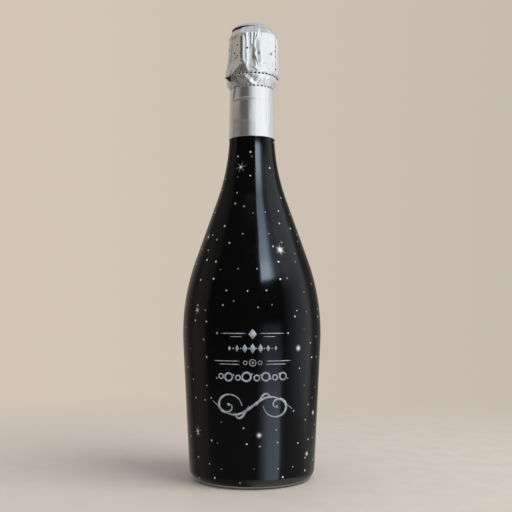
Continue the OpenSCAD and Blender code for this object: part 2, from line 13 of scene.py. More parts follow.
import bpy
import numpy as np
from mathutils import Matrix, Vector


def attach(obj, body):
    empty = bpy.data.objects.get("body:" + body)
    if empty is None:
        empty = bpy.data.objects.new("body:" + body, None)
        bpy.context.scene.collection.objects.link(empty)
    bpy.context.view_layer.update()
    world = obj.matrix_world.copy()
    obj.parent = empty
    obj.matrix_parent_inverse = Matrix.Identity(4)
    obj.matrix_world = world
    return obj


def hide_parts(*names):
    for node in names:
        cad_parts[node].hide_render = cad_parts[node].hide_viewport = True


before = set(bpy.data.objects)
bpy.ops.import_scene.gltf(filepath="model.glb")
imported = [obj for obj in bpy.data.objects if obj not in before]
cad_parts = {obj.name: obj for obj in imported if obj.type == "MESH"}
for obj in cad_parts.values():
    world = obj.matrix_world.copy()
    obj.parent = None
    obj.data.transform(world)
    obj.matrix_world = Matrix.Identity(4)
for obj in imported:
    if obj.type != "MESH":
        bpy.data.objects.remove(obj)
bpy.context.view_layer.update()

MM = 0.001
FRONT = 270.0
Vec = tuple[float, float, float]
Colour = tuple[float, float, float]
Corner = tuple[float, float, float]
Stop = tuple[float, float, float, float]
Array = np.ndarray
Piece = bpy.types.Object
Mesh = bpy.types.Mesh
Material = bpy.types.Material
Tree = bpy.types.NodeTree
Node = bpy.types.Node
Socket = bpy.types.NodeSocket

log = logging.getLogger("bottle")


class Body(str, Enum):
    """The moving bodies that pieces ride on."""

    BOTTLE = "bottle"
    TAB = "tab"
    CORK = "cork"
    HOOD = "hood"
    CROWN = "capsule_crown"


class Slot(str, Enum):
    """The record's material slots."""

    GLASS = "glass"
    WINE = "wine"
    SLEEVE = "sleeve"
    FOIL = "foil"
    TAPE = "tape"
    PLAQUE = "plaque"
    WIRE = "wire"
    CORK = "cork"
    CORK_DISC = "cork_disc"


class Pole(Enum):
    """Which ends of a grid of rows are closed to a point on the axis: 1 is the last, 0 the first."""

    NONE = ()
    LAST = (1,)
    BOTH = (1, 0)


# Outlines and fields


def along(degrees: float) -> Array:
    """The unit vector in a direction."""
    return np.array([math.cos(math.radians(degrees)), math.sin(math.radians(degrees))])


def cross2(a: Array, b: Array) -> float:
    """The z part of the cross product of two plane vectors."""
    return float(a[0] * b[1] - a[1] * b[0])


@dataclass(frozen=True)
class Line:
    """A straight line of an outline: a point and a direction, with the air on its right."""

    x: float
    y: float
    heading: float

    def moved(self, e: float) -> "Line":
        """The parallel line, e further out."""
        step = e * along(self.heading - 90)
        return Line(self.x + step[0], self.y + step[1], self.heading)

    def meet(self, other: "Line") -> tuple[float, float]:
        """The point where two lines cross: the first point plus the way to go along it.

        Args:
            other: the other line.

        Returns:
            The radius and height of the point.
        """
        gap = np.array([other.x - self.x, other.y - self.y])
        own, their = along(self.heading), along(other.heading)
        point = np.array([self.x, self.y]) + own * cross2(gap, their) / cross2(own, their)
        return float(point[0]), float(point[1])

    def at_height(self, z: float) -> tuple[float, float]:
        """The point of the line at a height."""
        return self.meet(Line(0, z, 0))


def arc(x: float, y: float, radius: float, turn: Array) -> Array:
    """Points of a circle in a plane, at turns in radians."""
    return np.stack([x + radius * np.cos(turn), y + radius * np.sin(turn)], 1)


def fillet(before: Corner, corner: Corner, after: Corner, step: float) -> Array:
    """The arc that rounds a corner, tangent to both of its lines.

    Args:
        before: the corner before, as x, y and radius.
        corner: the corner to round.
        after: the next corner.
        step: the most degrees between two points of the arc.

    Returns:
        The arc's points, or the corner itself where its radius is zero.
    """
    p, q, s = (np.array(c[:2], float) for c in (before, corner, after))
    radius = corner[2]
    if radius <= 0:
        return q[None]
    u = (p - q) / np.linalg.norm(p - q)
    v = (s - q) / np.linalg.norm(s - q)
    half = math.acos(float(np.clip(u @ v, -1, 1))) / 2
    centre = q + (u + v) / np.linalg.norm(u + v) * radius / math.sin(half)
    first = q + u * radius / math.tan(half) - centre
    turn = (math.pi - 2 * half) * np.sign(cross2(-u, v))
    count = max(3, math.ceil(abs(math.degrees(turn)) / step))
    return arc(*centre, radius, math.atan2(first[1], first[0]) + turn * np.linspace(0, 1, count + 1))


def rounded(corners: Sequence[Corner], step: float = 6.0) -> Array:
    """An outline through corners, each rounded by its own arc.

    Args:
        corners: x, y and radius of each corner; the two ends are left sharp.
        step: the most degrees between two points of an arc.

    Returns:
        The outline's points.
    """
    parts = [np.array([corners[0][:2]], float)]
    for before, corner, after in zip(corners, corners[1:], corners[2:]):
        parts.append(fillet(before, corner, after, step))
    parts.append(np.array([corners[-1][:2]], float))
    return np.concatenate(parts)


def filled(outline: Array, most: float) -> Array:
    """The outline with points added on its straight stretches, none further apart than most.

    Args:
        outline: the points.
        most: the longest gap that is left.

    Returns:
        The points with the new ones in between.
    """
    parts = []
    for a, b in zip(outline[:-1], outline[1:]):
        count = max(1, math.ceil(float(np.linalg.norm(b - a)) / most))
        parts.append(a + (b - a) * (np.arange(count) / count)[:, None])
    return np.concatenate(parts + [outline[-1:]])


def evenly(outline: Array, count: int) -> Array:
    """The outline as count points at equal distances along it.

    Args:
        outline: the points.
        count: how many points to give.

    Returns:
        The new points.
    """
    gone = np.r_[0, np.cumsum(np.linalg.norm(np.diff(outline, axis=0), axis=1))]
    want = np.linspace(0, gone[-1], count)
    return np.stack([np.interp(want, gone, outline[:, k]) for k in range(outline.shape[1])], 1)


def ease(t: Array) -> Array:
    """A smooth step from 0 to 1, flat at both ends."""
    t = np.clip(t, 0, 1)
    return t * t * (3 - 2 * t)


def turn_gap(a: Array, b: float) -> Array:
    """The signed difference of two azimuths in degrees, between -180 and 180."""
    return (np.asarray(a) - b + 180) % 360 - 180


def hump(x: Array, width: float) -> Array:
    """A bell that is 1 at zero and falls off over the width."""
    return np.exp(-((x / width) ** 2))


def tent(x: Array) -> Array:
    """A wave of straight flanks between 0 and 1, with a period of 1."""
    return np.abs((x % 1.0) * 2 - 1)


def ridges(x: Array) -> Array:
    """Slanted ridges from 0 to 1 with a period of 1: a slow rise, then a fall twice as steep."""
    share = x % 1.0
    return np.minimum(share / 0.67, (1 - share) / 0.33)


@dataclass(frozen=True)
class Waves:
    """Smooth noise over a turned surface: random values on a lattice, eased in between.

    The lattice closes round the axis, so the noise has no seam.
    """

    seed: int
    around: int
    tall: float

    def __call__(self, azimuth: Array, z: Array) -> Array:
        """The noise between -1 and 1.

        Args:
            azimuth: degrees round the axis.
            z: heights, in the unit of tall, which is the lattice's step upwards.

        Returns:
            An array of the same shape.
        """
        rows = 64
        table = np.random.default_rng(self.seed).uniform(-1, 1, (rows, self.around))
        u = (np.asarray(azimuth) / 360 * self.around) % self.around
        v = (np.asarray(z) / self.tall) % rows
        i, j = np.floor(v).astype(int), np.floor(u).astype(int)
        s, t = ease(v - i), ease(u - j)
        i1, j1 = (i + 1) % rows, (j + 1) % self.around
        i, j = i % rows, j % self.around
        low = table[i, j] * (1 - t) + table[i, j1] * t
        high = table[i1, j] * (1 - t) + table[i1, j1] * t
        return low * (1 - s) + high * s


@dataclass(frozen=True)
class Facets:
    """Crumpled foil: the distance to the nearest of many scattered points.

    Along the line between two neighbouring points the distance has a sharp crease, and
    the space is squeezed upright, so that the creases run mostly up and down.
    """

    seed: int
    cell: float
    stretch: float
    girth: float

    def __call__(self, azimuth: Array, z: Array) -> Array:
        """The height of the crumple between 0, at a point, and about 1, at a crease.

        Args:
            azimuth: degrees round the axis.
            z: heights in mm.

        Returns:
            An array of the same shape.
        """
        rng = np.random.default_rng(self.seed)
        round_mm = 2 * math.pi * self.girth
        low, high = float(np.min(z)) - 2 * self.cell, float(np.max(z)) + 2 * self.cell
        count = max(8, int(round_mm * (high - low) / (self.cell**2 * self.stretch)))
        px, pz = rng.uniform(0, round_mm, count), rng.uniform(low, high, count)
        size = rng.uniform(0.8, 1.25, count)
        x = (np.asarray(azimuth) / 360 * round_mm) % round_mm
        best = np.full(x.shape, 1e9)
        for cx, cz, k in zip(px, pz, size):
            dx = np.abs(x - cx)
            dx = np.minimum(dx, round_mm - dx)
            best = np.minimum(best, k * np.hypot(dx, (z - cz) / self.stretch))
        return best / self.cell


# Meshes


@dataclass
class Grid:
    """A surface as rows of points, which may close round the axis and at its poles.

    Rows run up the outside, and columns run counter-clockwise seen from above, so that
    the faces look outwards.
    """

    points: Array
    around: bool = True
    loop: bool = False
    pole: Pole = Pole.NONE
    keep: Array | None = None
    uv: Array | None = None

    def quads(self) -> Array:
        """The corners of the faces, as indices of the points.

        Returns:
            A row of four indices for each face.
        """
        rows, cols = self.points.shape[:2]
        i = np.arange(rows if self.loop else rows - 1)
        j = np.arange(cols if self.around else cols - 1)
        i, j = np.meshgrid(i, j, indexing="ij")
        i1, j1 = (i + 1) % rows, (j + 1) % cols
        faces = np.stack([i * cols + j, i * cols + j1, i1 * cols + j1, i1 * cols + j], -1)
        if self.keep is not None:
            faces = faces[self.keep]
        return faces.reshape(-1, 4)

    def object(self, name: str, sharp: float = 40.0) -> Piece:
        """Makes the mesh object.

        Args:
            name: the object's name.
            sharp: edges that turn by more degrees than this are shaded as edges.

        Returns:
            The new object, at the origin.
        """
        quads = self.quads()
        rows, cols = self.points.shape[:2]
        points = self.points.reshape(-1, 3)
        corners, sizes = [quads.ravel()], [np.full(len(quads), 4)]
        for last in self.pole.value:
            ring = last * (rows - 1) * cols + np.arange(cols)
            edge = (ring, np.roll(ring, -1)) if last else (np.roll(ring, -1), ring)
            corners.append(np.stack([*edge, np.full(cols, len(points))], 1).ravel())
            sizes.append(np.full(cols, 3))
            points = np.r_[points, points[ring].mean(0)[None]]
        piece = mesh_object(name, points, np.concatenate(corners), np.concatenate(sizes), sharp)
        if self.uv is not None:
            self.lay_uv(piece.data, quads)
        return piece

    def lay_uv(self, mesh: Mesh, quads: Array) -> None:
        """Writes the map, whose last column stands for the first one come round again.

        Args:
            mesh: the mesh that takes the map.
            quads: the corners of its faces, as indices of the points.
        """
        rows, cols = self.points.shape[:2]
        i, j = quads // cols, quads % cols
        over = (j == 0) & (j.max(axis=1, keepdims=True) == cols - 1) & self.around
        flat = self.uv[i, np.where(over, cols, j)].reshape(-1, 2)
        layer = mesh.uv_layers.new(name="Surface")
        values = np.zeros((len(mesh.loops), 2), np.float32)
        values[: len(flat)] = flat
        layer.data.foreach_set("uv", values.ravel())


def mesh_object(
    name: str, points: Array, corners: Array, sizes: Array, sharp: float = 40.0
) -> Piece:
    """Puts arrays into a new mesh object, without the vertices that no face uses.

    Args:
        name: the object's name.
        points: the vertices in mm.
        corners: the vertex of every corner, face after face.
        sizes: the number of corners of each face.
        sharp: edges that turn by more degrees than this are shaded as edges.

    Returns:
        The new object.
    """
    used, corners = np.unique(corners, return_inverse=True)
    points = points[used]
    mesh = bpy.data.meshes.new(name)
    mesh.vertices.add(len(points))
    mesh.vertices.foreach_set("co", (points * MM).astype(np.float32).ravel())
    mesh.loops.add(len(corners))
    mesh.loops.foreach_set("vertex_index", corners.astype(np.int32))
    mesh.polygons.add(len(sizes))
    starts = np.r_[0, np.cumsum(sizes)[:-1]].astype(np.int32)
    mesh.polygons.foreach_set("loop_start", starts)
    mesh.polygons.foreach_set("use_smooth", np.ones(len(sizes), bool))
    mesh.update(calc_edges=True)
    mesh.set_sharp_from_angle(angle=math.radians(sharp))
    piece = bpy.data.objects.new(name, mesh)
    bpy.context.scene.collection.objects.link(piece)
    return piece


def turned(outline: Array, cols: int, relief: Array | None = None) -> Array:
    """Turns an outline of radius and height about the axis.

    Args:
        outline: the radius and height of each row.
        cols: how many columns go round.
        relief: what is added to the radius at each row and column.

    Returns:
        The grid of points.
    """
    azimuth = np.radians(np.arange(cols) * 360 / cols)
    radius = outline[:, 0][:, None] + (0 if relief is None else relief)
    radius = np.broadcast_to(radius, (len(outline), cols))
    height = np.broadcast_to(outline[:, 1][:, None], radius.shape)
    return np.stack([radius * np.cos(azimuth), radius * np.sin(azimuth), height], -1)


def azimuths(cols: int) -> Array:
    """The azimuth of each column, as one row."""
    return (np.arange(cols) * 360 / cols)[None]


def thickened(piece: Piece, thickness: float, offset: float = -1.0) -> Piece:
    """Gives a sheet its wall with a Solidify modifier, inwards unless offset says otherwise.

    Args:
        piece: the sheet.
        thickness: how thick the wall is.
        offset: -1 for a wall inside the sheet, 0 for half on each side and 1 for outside.

    Returns:
        The same piece.
    """
    wall = piece.modifiers.new("Wall", "SOLIDIFY")
    wall.thickness = thickness * MM
    wall.offset = offset
    wall.use_even_offset = False
    return piece


def tube(path: Array, diameter: float, sides: int) -> Array:
    """The wall of a round wire along a closed path.

    The wire's cross-section is carried from station to station without turning, and the
    turn that is left over at the end is shared out along the path.

    Args:
        path: the stations, without the first one repeated at the end.
        diameter: the wire's diameter.
        sides: the points round the wire.

    Returns:
        One row of points for each station.
    """
    ahead = np.roll(path, -1, 0) - np.roll(path, 1, 0)
    ahead /= np.linalg.norm(ahead, axis=1, keepdims=True)
    start = np.cross(ahead[0], (0, 0, 1) if abs(ahead[0][2]) < 0.9 else (1, 0, 0))
    carried = [start / np.linalg.norm(start)]
    for way in np.r_[ahead[1:], ahead[:1]]:
        side = carried[-1] - (carried[-1] @ way) * way
        carried.append(side / np.linalg.norm(side))
    sine, cosine = np.cross(carried[0], carried[-1]) @ ahead[0], carried[0] @ carried[-1]
    left = math.atan2(float(sine), float(cosine))
    side = np.array(carried[:-1])
    other = np.cross(ahead, side)
    share = np.arange(len(path)) / len(path)
    angle = np.arange(sides) / sides * 2 * math.pi - left * share[:, None]
    ring = side[:, None] * np.cos(angle)[..., None] + other[:, None] * np.sin(angle)[..., None]
    return path[:, None] + diameter / 2 * ring


# Node trees


class Nodes:
    """Adds nodes to one tree, sets their sockets and links them."""

    def __init__(self, tree: Tree) -> None:
        """Keeps the tree."""
        self.tree = tree

    def add(self, kind: str, inputs: dict | None = None, **settings: object) -> Node:
        """Adds a node.

        Args:
            kind: the end of the node's type name, after ShaderNode.
            inputs: a value or an output socket for each named or numbered input.
            settings: the node's own properties.

        Returns:
            The new node.
        """
        node = self.tree.nodes.new("ShaderNode" + kind)
        for key, value in settings.items():
            setattr(node, key, value)
        self.feed(node, inputs or {})
        return node

    def feed(self, node: Node, inputs: dict) -> None:
        """Fills inputs of a node.

        Args:
            node: the node.
            inputs: for each named or numbered input an output to link to it, or its own value.
        """
        for key, value in inputs.items():
            socket = node.inputs[key]
            if isinstance(value, Socket):
                self.tree.links.new(value, socket)
            elif isinstance(value, tuple) and len(value) == 3 and socket.type == "RGBA":
                socket.default_value = (*value, 1)
            else:
                socket.default_value = value

    def surface(self, shader: Node) -> None:
        """Gives the material's output another shader."""
        output = next(node for node in self.tree.nodes if node.type == "OUTPUT_MATERIAL")
        self.feed(output, {"Surface": shader.outputs[0]})

    def math(self, operation: str, *values: object, clamp: bool = False) -> Socket:
        """One step of arithmetic."""
        return self.add("Math", dict(enumerate(values)), operation=operation, use_clamp=clamp).outputs[0]

    def times(self, a: object, b: object) -> Socket:
        """The product of two values."""
        return self.math("MULTIPLY", a, b)

    def plus(self, a: object, b: object) -> Socket:
        """The sum of two values."""
        return self.math("ADD", a, b)

    def minus(self, a: object, b: object) -> Socket:
        """The first value less the second."""
        return self.math("SUBTRACT", a, b)

    def far(self, x: object, y: object) -> Socket:
        """How far a point of a plane is from its origin: the root of the sum of the squares."""
        return self.math("SQRT", self.plus(self.times(x, x), self.times(y, y)))

    def bearing(self, x: object, y: object) -> Socket:
        """The bearing from the front of a point or a direction, in radians."""
        return self.math("ARCTAN2", x, self.times(y, -1.0))

    def split(self, vector: object) -> Sequence[Socket]:
        """The three parts of a vector."""
        return self.add("SeparateXYZ", {0: vector}).outputs

    def vector(self, operation: str, *values: object) -> Socket:
        """One step of vector arithmetic."""
        return self.add("VectorMath", dict(enumerate(values)), operation=operation).outputs[0]

    def scaled(self, vector: object, by: object) -> Socket:
        """A vector or a colour times a number."""
        return self.add("VectorMath", {0: vector, "Scale": by}, operation="SCALE").outputs[0]

    def between(self, value: object, low: float, high: float, *to: float) -> Socket:
        """Eases a value from low to high into 0 to 1, or into the two values that follow."""
        inputs = {"Value": value, "From Min": low, "From Max": high, **dict(zip(("To Min", "To Max"), to))}
        return self.add("MapRange", inputs, interpolation_type="SMOOTHSTEP").outputs["Result"]

    def mix(self, share: object, a: object, b: object) -> Socket:
        """Mixes two colours."""
        return self.add("Mix", {0: share, 6: a, 7: b}, data_type="RGBA").outputs[2]

    def ring(self, degrees: object, stops: Sequence[Stop], peak: float) -> Socket:
        """A colour by bearing.

        Args:
            degrees: the bearing, from -180 to 180.
            stops: bearings with their red, green and blue, with straight blends in between.
            peak: the brightest value, by which the ramp is scaled.

        Returns:
            The colour.
        """
        node = self.add("ValToRGB", {0: self.math("MULTIPLY_ADD", degrees, 1 / 360, 0.5)})
        ramp = node.color_ramp.elements
        for index, (bearing, *colour) in enumerate(stops):
            place = bearing / 360 + 0.5
            stop = ramp[index] if index < 2 else ramp.new(place)
            stop.position = place
            stop.color = (*[part / peak for part in colour], 1)
        return self.scaled(node.outputs[0], peak)

    def noise(self, vector: object, scale: object, detail: float = 3.0, rough: float = 0.5) -> Socket:
        """Fractal noise about 0.5."""
        inputs = {"Vector": vector, "Scale": scale, "Detail": detail, "Roughness": rough}
        return self.add("TexNoise", inputs).outputs[0]

    def bump(self, height: object, strength: float, distance: float) -> Socket:
        """Turns a height into a normal. The distance is in mm."""
        inputs = {"Height": height, "Strength": strength, "Distance": distance * MM}
        return self.add("Bump", inputs).outputs[0]

    def group(self, tree: Tree, inputs: dict) -> Sequence[Socket]:
        """Places a node group and gives its outputs."""
        return self.add("Group", inputs, node_tree=tree).outputs


def new_group(name: str, inputs: dict[str, float | None], *outputs: str) -> tuple:
    """Starts a node group whose outputs are numbers.

    Args:
        name: the group's name.
        inputs: the first value of each input, or None for a vector.
        outputs: the names of the outputs.

    Returns:
        The tree, its Nodes, the inputs' sockets and the node that takes the outputs.
    """
    tree = bpy.data.node_groups.new(name, "ShaderNodeTree")
    for key, value in inputs.items():
        kind = "NodeSocketVector" if value is None else "NodeSocketFloat"
        socket = tree.interface.new_socket(name=key, in_out="INPUT", socket_type=kind)
        if value is not None:
            socket.default_value = value
    for key in outputs:
        tree.interface.new_socket(name=key, in_out="OUTPUT", socket_type="NodeSocketFloat")
    source = tree.nodes.new("NodeGroupInput")
    return tree, Nodes(tree), source.outputs, tree.nodes.new("NodeGroupOutput")


class Effects:
    """The shared shader effects, each built once."""

    def __init__(self) -> None:
        """Builds the groups."""
        self.scuffs = self.build_scuffs()
        self.rolled = self.build_rolled()
        self.place = self.build_place()
        self.sparkle = self.build_sparkle()

    def scuff(self, n: Nodes, place: Socket, scale: float, amount: float) -> Socket:
        """The mask of the scuffs on a surface."""
        return n.group(self.scuffs, {"Vector": place, "Scale": scale, "Amount": amount})[0]

    def sheet(self, n: Nodes, place: Socket, lines: float, uneven: float) -> Socket:
        """The height of rolled sheet metal's surface."""
        return n.group(self.rolled, {"Vector": place, "Lines": lines, "Unevenness": uneven})[0]

    @staticmethod
    def build_scuffs() -> Tree:
        """Dust and rubbing: patches of noise, broken up by a finer noise.

        Returns:
            The group's tree.
        """
        tree, n, source, sink = new_group("Scuffs", {"Vector": None, "Scale": 60.0, "Amount": 0.3}, "Mask")
        vector, scale, amount = source[:3]
        large = n.noise(vector, scale, 4.0, 0.6)
        small = n.noise(vector, n.times(scale, 9.0), 2.0, 0.6)
        both = n.times(n.between(large, 0.45, 0.75), n.between(small, 0.35, 0.7))
        n.feed(sink, {"Mask": n.math("MULTIPLY", both, amount, clamp=True)})
        return tree

    @staticmethod
    def build_rolled() -> Tree:
        """Rolled sheet metal: fine lines drawn out one way, over a soft unevenness.

        Returns:
            The group's tree.
        """
        inputs = {"Vector": None, "Lines": 1.0, "Unevenness": 1.0}
        tree, n, source, sink = new_group("RolledSheet", inputs, "Height")
        vector, lines, uneven = source[:3]
        drawn = n.vector("MULTIPLY", vector, (900.0, 900.0, 40.0))
        fine = n.times(n.noise(drawn, 4.0, 2.0), lines)
        n.feed(sink, {"Height": n.plus(fine, n.times(n.noise(vector, 150.0, 1.0, 0.35), uneven))})
        return tree

    @staticmethod
    def build_place() -> Tree:
        """Where a point lies on the bottle: its bearing in radians, girth and height in mm.

        Returns:
            The group's tree.
        """
        tree, n, source, sink = new_group("BottlePlace", {"Vector": None}, "Bearing", "Girth", "Height")
        x, y, z = n.split(source[0])
        n.feed(sink, {"Bearing": n.bearing(x, y), "Girth": n.times(n.far(x, y), 1 / MM)})
        n.feed(sink, {"Height": n.times(z, 1 / MM)})
        return tree

    @staticmethod
    def build_sparkle() -> Tree:
        """A printed sparkle: a soft round glow and three crossing rays that fade outwards.

        A ray is the product of two falls: fast away from its line and slow along it.

        Returns:
            The group's tree.
        """
        inputs = {"Bearing": 0.0, "Girth": 40.0, "Height": 0.0, "At Bearing": 0.0, "At Height": 0.0,
                  "Ray": 2.0, "Glow": 1.0, "Turn": 0.0}
        tree, n, o, sink = new_group("Sparkle", inputs, "Mask")
        x = n.times(n.minus(o["Bearing"], o["At Bearing"]), o["Girth"])
        y = n.minus(o["Height"], o["At Height"])
        far = n.far(x, y)
        fall = n.math("DIVIDE", far, o["Glow"])
        total = n.math("EXPONENT", n.times(n.times(fall, fall), -1.0))
        for third in range(3):
            angle = n.plus(o["Turn"], third * math.pi / 3)
            off = n.minus(n.times(x, n.math("SINE", angle)), n.times(y, n.math("COSINE", angle)))
            thin = n.math("EXPONENT", n.times(n.math("ABSOLUTE", off), -9.0))
            end = n.math("SUBTRACT", 1.0, n.math("DIVIDE", far, o["Ray"]), clamp=True)
            total = n.plus(total, n.times(thin, end))
        n.feed(sink, {"Mask": n.math("MINIMUM", total, 1.0)})
        return tree


# Finishes


def blank_material(name: str) -> tuple[Material, Nodes, Node, Socket]:
    """Starts a material with its shader and the object's own coordinates.

    Args:
        name: the material's name.

    Returns:
        The material, its Nodes, the Principled shader and the coordinates' output.
    """
    material = bpy.data.materials.new(name)
    material.use_nodes = True
    material.node_tree.nodes.clear()
    n = Nodes(material.node_tree)
    shader = n.add("BsdfPrincipled")
    n.add("OutputMaterial", {"Surface": shader.outputs[0]})
    return material, n, shader, n.add("TexCoord").outputs["Object"]


@dataclass(frozen=True)
class Finish:
    """A finish of one material. Each kind of finish works out what its shader is fed."""

    name: str

    def build(self, effects: Effects) -> Material:
        """Builds the material.

        Args:
            effects: the shared shader effects.

        Returns:
            The new material.
        """
        material, n, shader, place = blank_material(self.name)
        n.feed(shader, self.inputs(n, effects, place))
        return material

    def inputs(self, n: Nodes, effects: Effects, place: Socket) -> dict[str, object]:
        """Works out the shader's inputs.

        Args:
            n: the material's nodes.
            effects: the shared shader effects.
            place: the object's own coordinates.

        Returns:
            A value or an output socket for each named input.
        """
        raise NotImplementedError


@dataclass(frozen=True)
class Foil(Finish):
    """Embossed capsule foil: bright metal with fine rolled lines and rubbed, duller patches."""

    colour: Colour = (0.86, 0.87, 0.88)
    rubbed: Colour = (0.66, 0.655, 0.64)
    roughness: float = 0.15
    metal: float = 0.95
    crinkle: float = 0.035

    def inputs(self, n: Nodes, effects: Effects, place: Socket) -> dict[str, object]:
        """Works out the shader's inputs.

        Args:
            n: the material's nodes.
            effects: the shared shader effects.
            place: the object's own coordinates.

        Returns:
            A value or an output socket for each named input.
        """
        scuffs = effects.scuff(n, place, 45.0, 0.3)
        return {
            "Base Color": n.mix(scuffs, self.colour, self.rubbed),
            "Metallic": self.metal,
            "Roughness": n.math("MULTIPLY_ADD", scuffs, 0.12, self.roughness),
            "Normal": n.bump(effects.sheet(n, place, 0.012, 1.0), 1.0, self.crinkle),
        }


@dataclass(frozen=True)
class Glass(Finish):
    """Bottle glass: clear, deeply coloured, with faint mould waves and a stippled foot."""

    colour: Colour = (0.055, 0.13, 0.05)
    scuffed: Colour = (0.1, 0.19, 0.09)
    stipple_high: float = 2.6
    stipple_fade: float = 0.8

    def inputs(self, n: Nodes, effects: Effects, place: Socket) -> dict[str, object]:
        """Works out the shader's inputs.

        Args:
            n: the material's nodes.
            effects: the shared shader effects.
            place: the object's own coordinates.

        Returns:
            A value or an output socket for each named input.
        """
        height = n.group(effects.place, {"Vector": place})["Height"]
        scuffs = effects.scuff(n, place, 90.0, 0.5)
        dots = n.add("TexVoronoi", {"Vector": place, "Scale": 700.0}).outputs["Distance"]
        foot = n.between(height, self.stipple_high, self.stipple_high + self.stipple_fade, 1.0, 0.0)
        bumps = n.times(foot, n.between(dots, 0.1, 0.5, 1.0, 0.0))
        waves = n.times(n.noise(place, 55.0, 2.0), 2.0)
        return {
            "Base Color": n.mix(scuffs, self.colour, self.scuffed),
            "Transmission Weight": 1.0,
            "IOR": 1.52,
            "Roughness": n.math("MULTIPLY_ADD", scuffs, 0.3, 0.03),
            "Normal": n.bump(n.plus(bumps, waves), 0.6, 0.3),
        }


@dataclass(frozen=True)
class Wine(Finish):
    """Pale wine with strings of fine bubbles."""

    colour: Colour = (0.93, 0.83, 0.5)
    bubble: Colour = (1.0, 0.97, 0.88)

    def inputs(self, n: Nodes, effects: Effects, place: Socket) -> dict[str, object]:
        """Works out the shader's inputs.

        Args:
            n: the material's nodes.
            effects: the shared shader effects; not used.
            place: the object's own coordinates.

        Returns:
            A value or an output socket for each named input.
        """
        cells = n.add("TexVoronoi", {"Vector": place, "Scale": 420.0}).outputs["Distance"]
        bubbles = n.between(cells, 0.1, 0.2, 1.0, 0.0)
        return {
            "Base Color": n.mix(bubbles, self.colour, self.bubble),
            "Transmission Weight": 1.0,
            "IOR": 1.34,
            "Roughness": 0.02,
            "Normal": n.bump(bubbles, 0.4, 0.2),
        }


@dataclass(frozen=True)
class Sparkle:
    """One printed sparkle: where it is, in degrees from the front and mm, and its size in mm."""

    bearing: float
    height: float
    ray: float
    glow: float
    turn: float = 20.0


@dataclass(frozen=True)
class SleevePrint(Finish):
    """Black shrink film with a printed night sky of fine dots and a few sparkles, and a painted reflection
    of the table along its lowest band.
    """

    sparkles: tuple[Sparkle, ...]
    film: Colour = (0.0016, 0.0016, 0.0019)
    worn: Colour = (0.004, 0.0039, 0.0037)
    ink: Colour = (0.78, 0.82, 0.86)
    # edge is a painted reflection: the pale table seen in the glass heel, painted on the sleeve's lowest
    # band.
    edge: Colour = (0.42, 0.41, 0.38)
    cell: float = 12.4
    dot: float = 0.58
    body_r: float = 46.5
    panel_half: float = 31.0
    panel_low: float = 42.0
    panel_high: float = 106.0
    panel_fade: float = 1.5
    # The band of painted reflection at the foot: its top and its fade, in mm.
    heel_sheen_z: float = 1.75
    heel_sheen_fade: float = 0.25

    def dots(self, n: Nodes, at: Sequence[Socket]) -> Socket:
        """Round dots, one in each cell of a loose net that is laid round the body.

        Args:
            n: the material's nodes.
            at: the outputs of the place group.

        Returns:
            The brightness of the ink.
        """
        across = n.times(at["Bearing"], self.body_r)
        flat = n.add("CombineXYZ", {0: across, 1: at["Height"]}).outputs[0]
        net = {"Vector": flat, "Scale": 1 / self.cell, "Randomness": 0.8}
        cells = n.add("TexVoronoi", net, voronoi_dimensions="2D").outputs
        x, y, _ = n.split(n.vector("SUBTRACT", flat, cells["Position"]))
        girth = n.math("DIVIDE", at["Girth"], self.body_r)
        luck = n.add("SeparateColor", {0: cells["Color"]}).outputs
        size = n.math("MULTIPLY_ADD", luck[1], 0.45 * self.dot, 0.7 * self.dot)
        far = n.math("DIVIDE", n.far(n.times(x, girth), y), size)
        kept = n.times(n.between(far, 0.7, 1.25, 1.0, 0.0), n.math("LESS_THAN", luck[2], girth))
        return n.times(kept, n.between(luck[0], 0.0, 1.0, 0.2, 0.95))

    def inputs(self, n: Nodes, effects: Effects, place: Socket) -> dict[str, object]:
        """Works out the shader's inputs.

        Args:
            n: the material's nodes.
            effects: the shared shader effects.
            place: the object's own coordinates.

        Returns:
            A value or an output socket for each named input.
        """
        at = n.group(effects.place, {"Vector": place})
        across = n.math("ABSOLUTE", n.times(at["Bearing"], at["Girth"]))
        outside = n.between(across, self.panel_half - self.panel_fade, self.panel_half)
        above = n.between(at["Height"], self.panel_high - self.panel_fade, self.panel_high)
        below = n.between(at["Height"], self.panel_low, self.panel_low + self.panel_fade, 1.0, 0.0)
        sky = n.math("MAXIMUM", outside, n.math("MAXIMUM", above, below))
        ink = n.times(self.dots(n, at), sky)
        for sparkle in self.sparkles:
            mask = n.group(effects.sparkle, {
                "Bearing": at["Bearing"], "Girth": at["Girth"], "Height": at["Height"],
                "At Bearing": math.radians(sparkle.bearing), "At Height": sparkle.height,
                "Ray": sparkle.ray, "Glow": sparkle.glow, "Turn": math.radians(sparkle.turn),
            })[0]
            ink = n.math("MAXIMUM", ink, mask)
        scuffs = effects.scuff(n, place, 45.0, 0.5)
        printed = n.mix(ink, n.mix(scuffs, self.film, self.worn), self.ink)
        # Painted reflection: the lowest band of the sleeve is painted the pale edge colour, standing in for
        # the table's reflection in the heel.
        cut = n.between(at["Height"], self.heel_sheen_z, self.heel_sheen_z + self.heel_sheen_fade, 1.0, 0.0)
        drawn = n.vector("MULTIPLY", place, (1.0, 1.0, 0.12))
        height = n.plus(n.noise(drawn, 130.0, 3.0), n.times(n.noise(place, 1500.0, 1.0), 0.02))
        return {
            "Base Color": n.mix(cut, printed, self.edge),
            "Roughness": n.math("MULTIPLY_ADD", scuffs, 0.12, 0.1),
            "Normal": n.bump(height, 0.5, 0.12),
        }


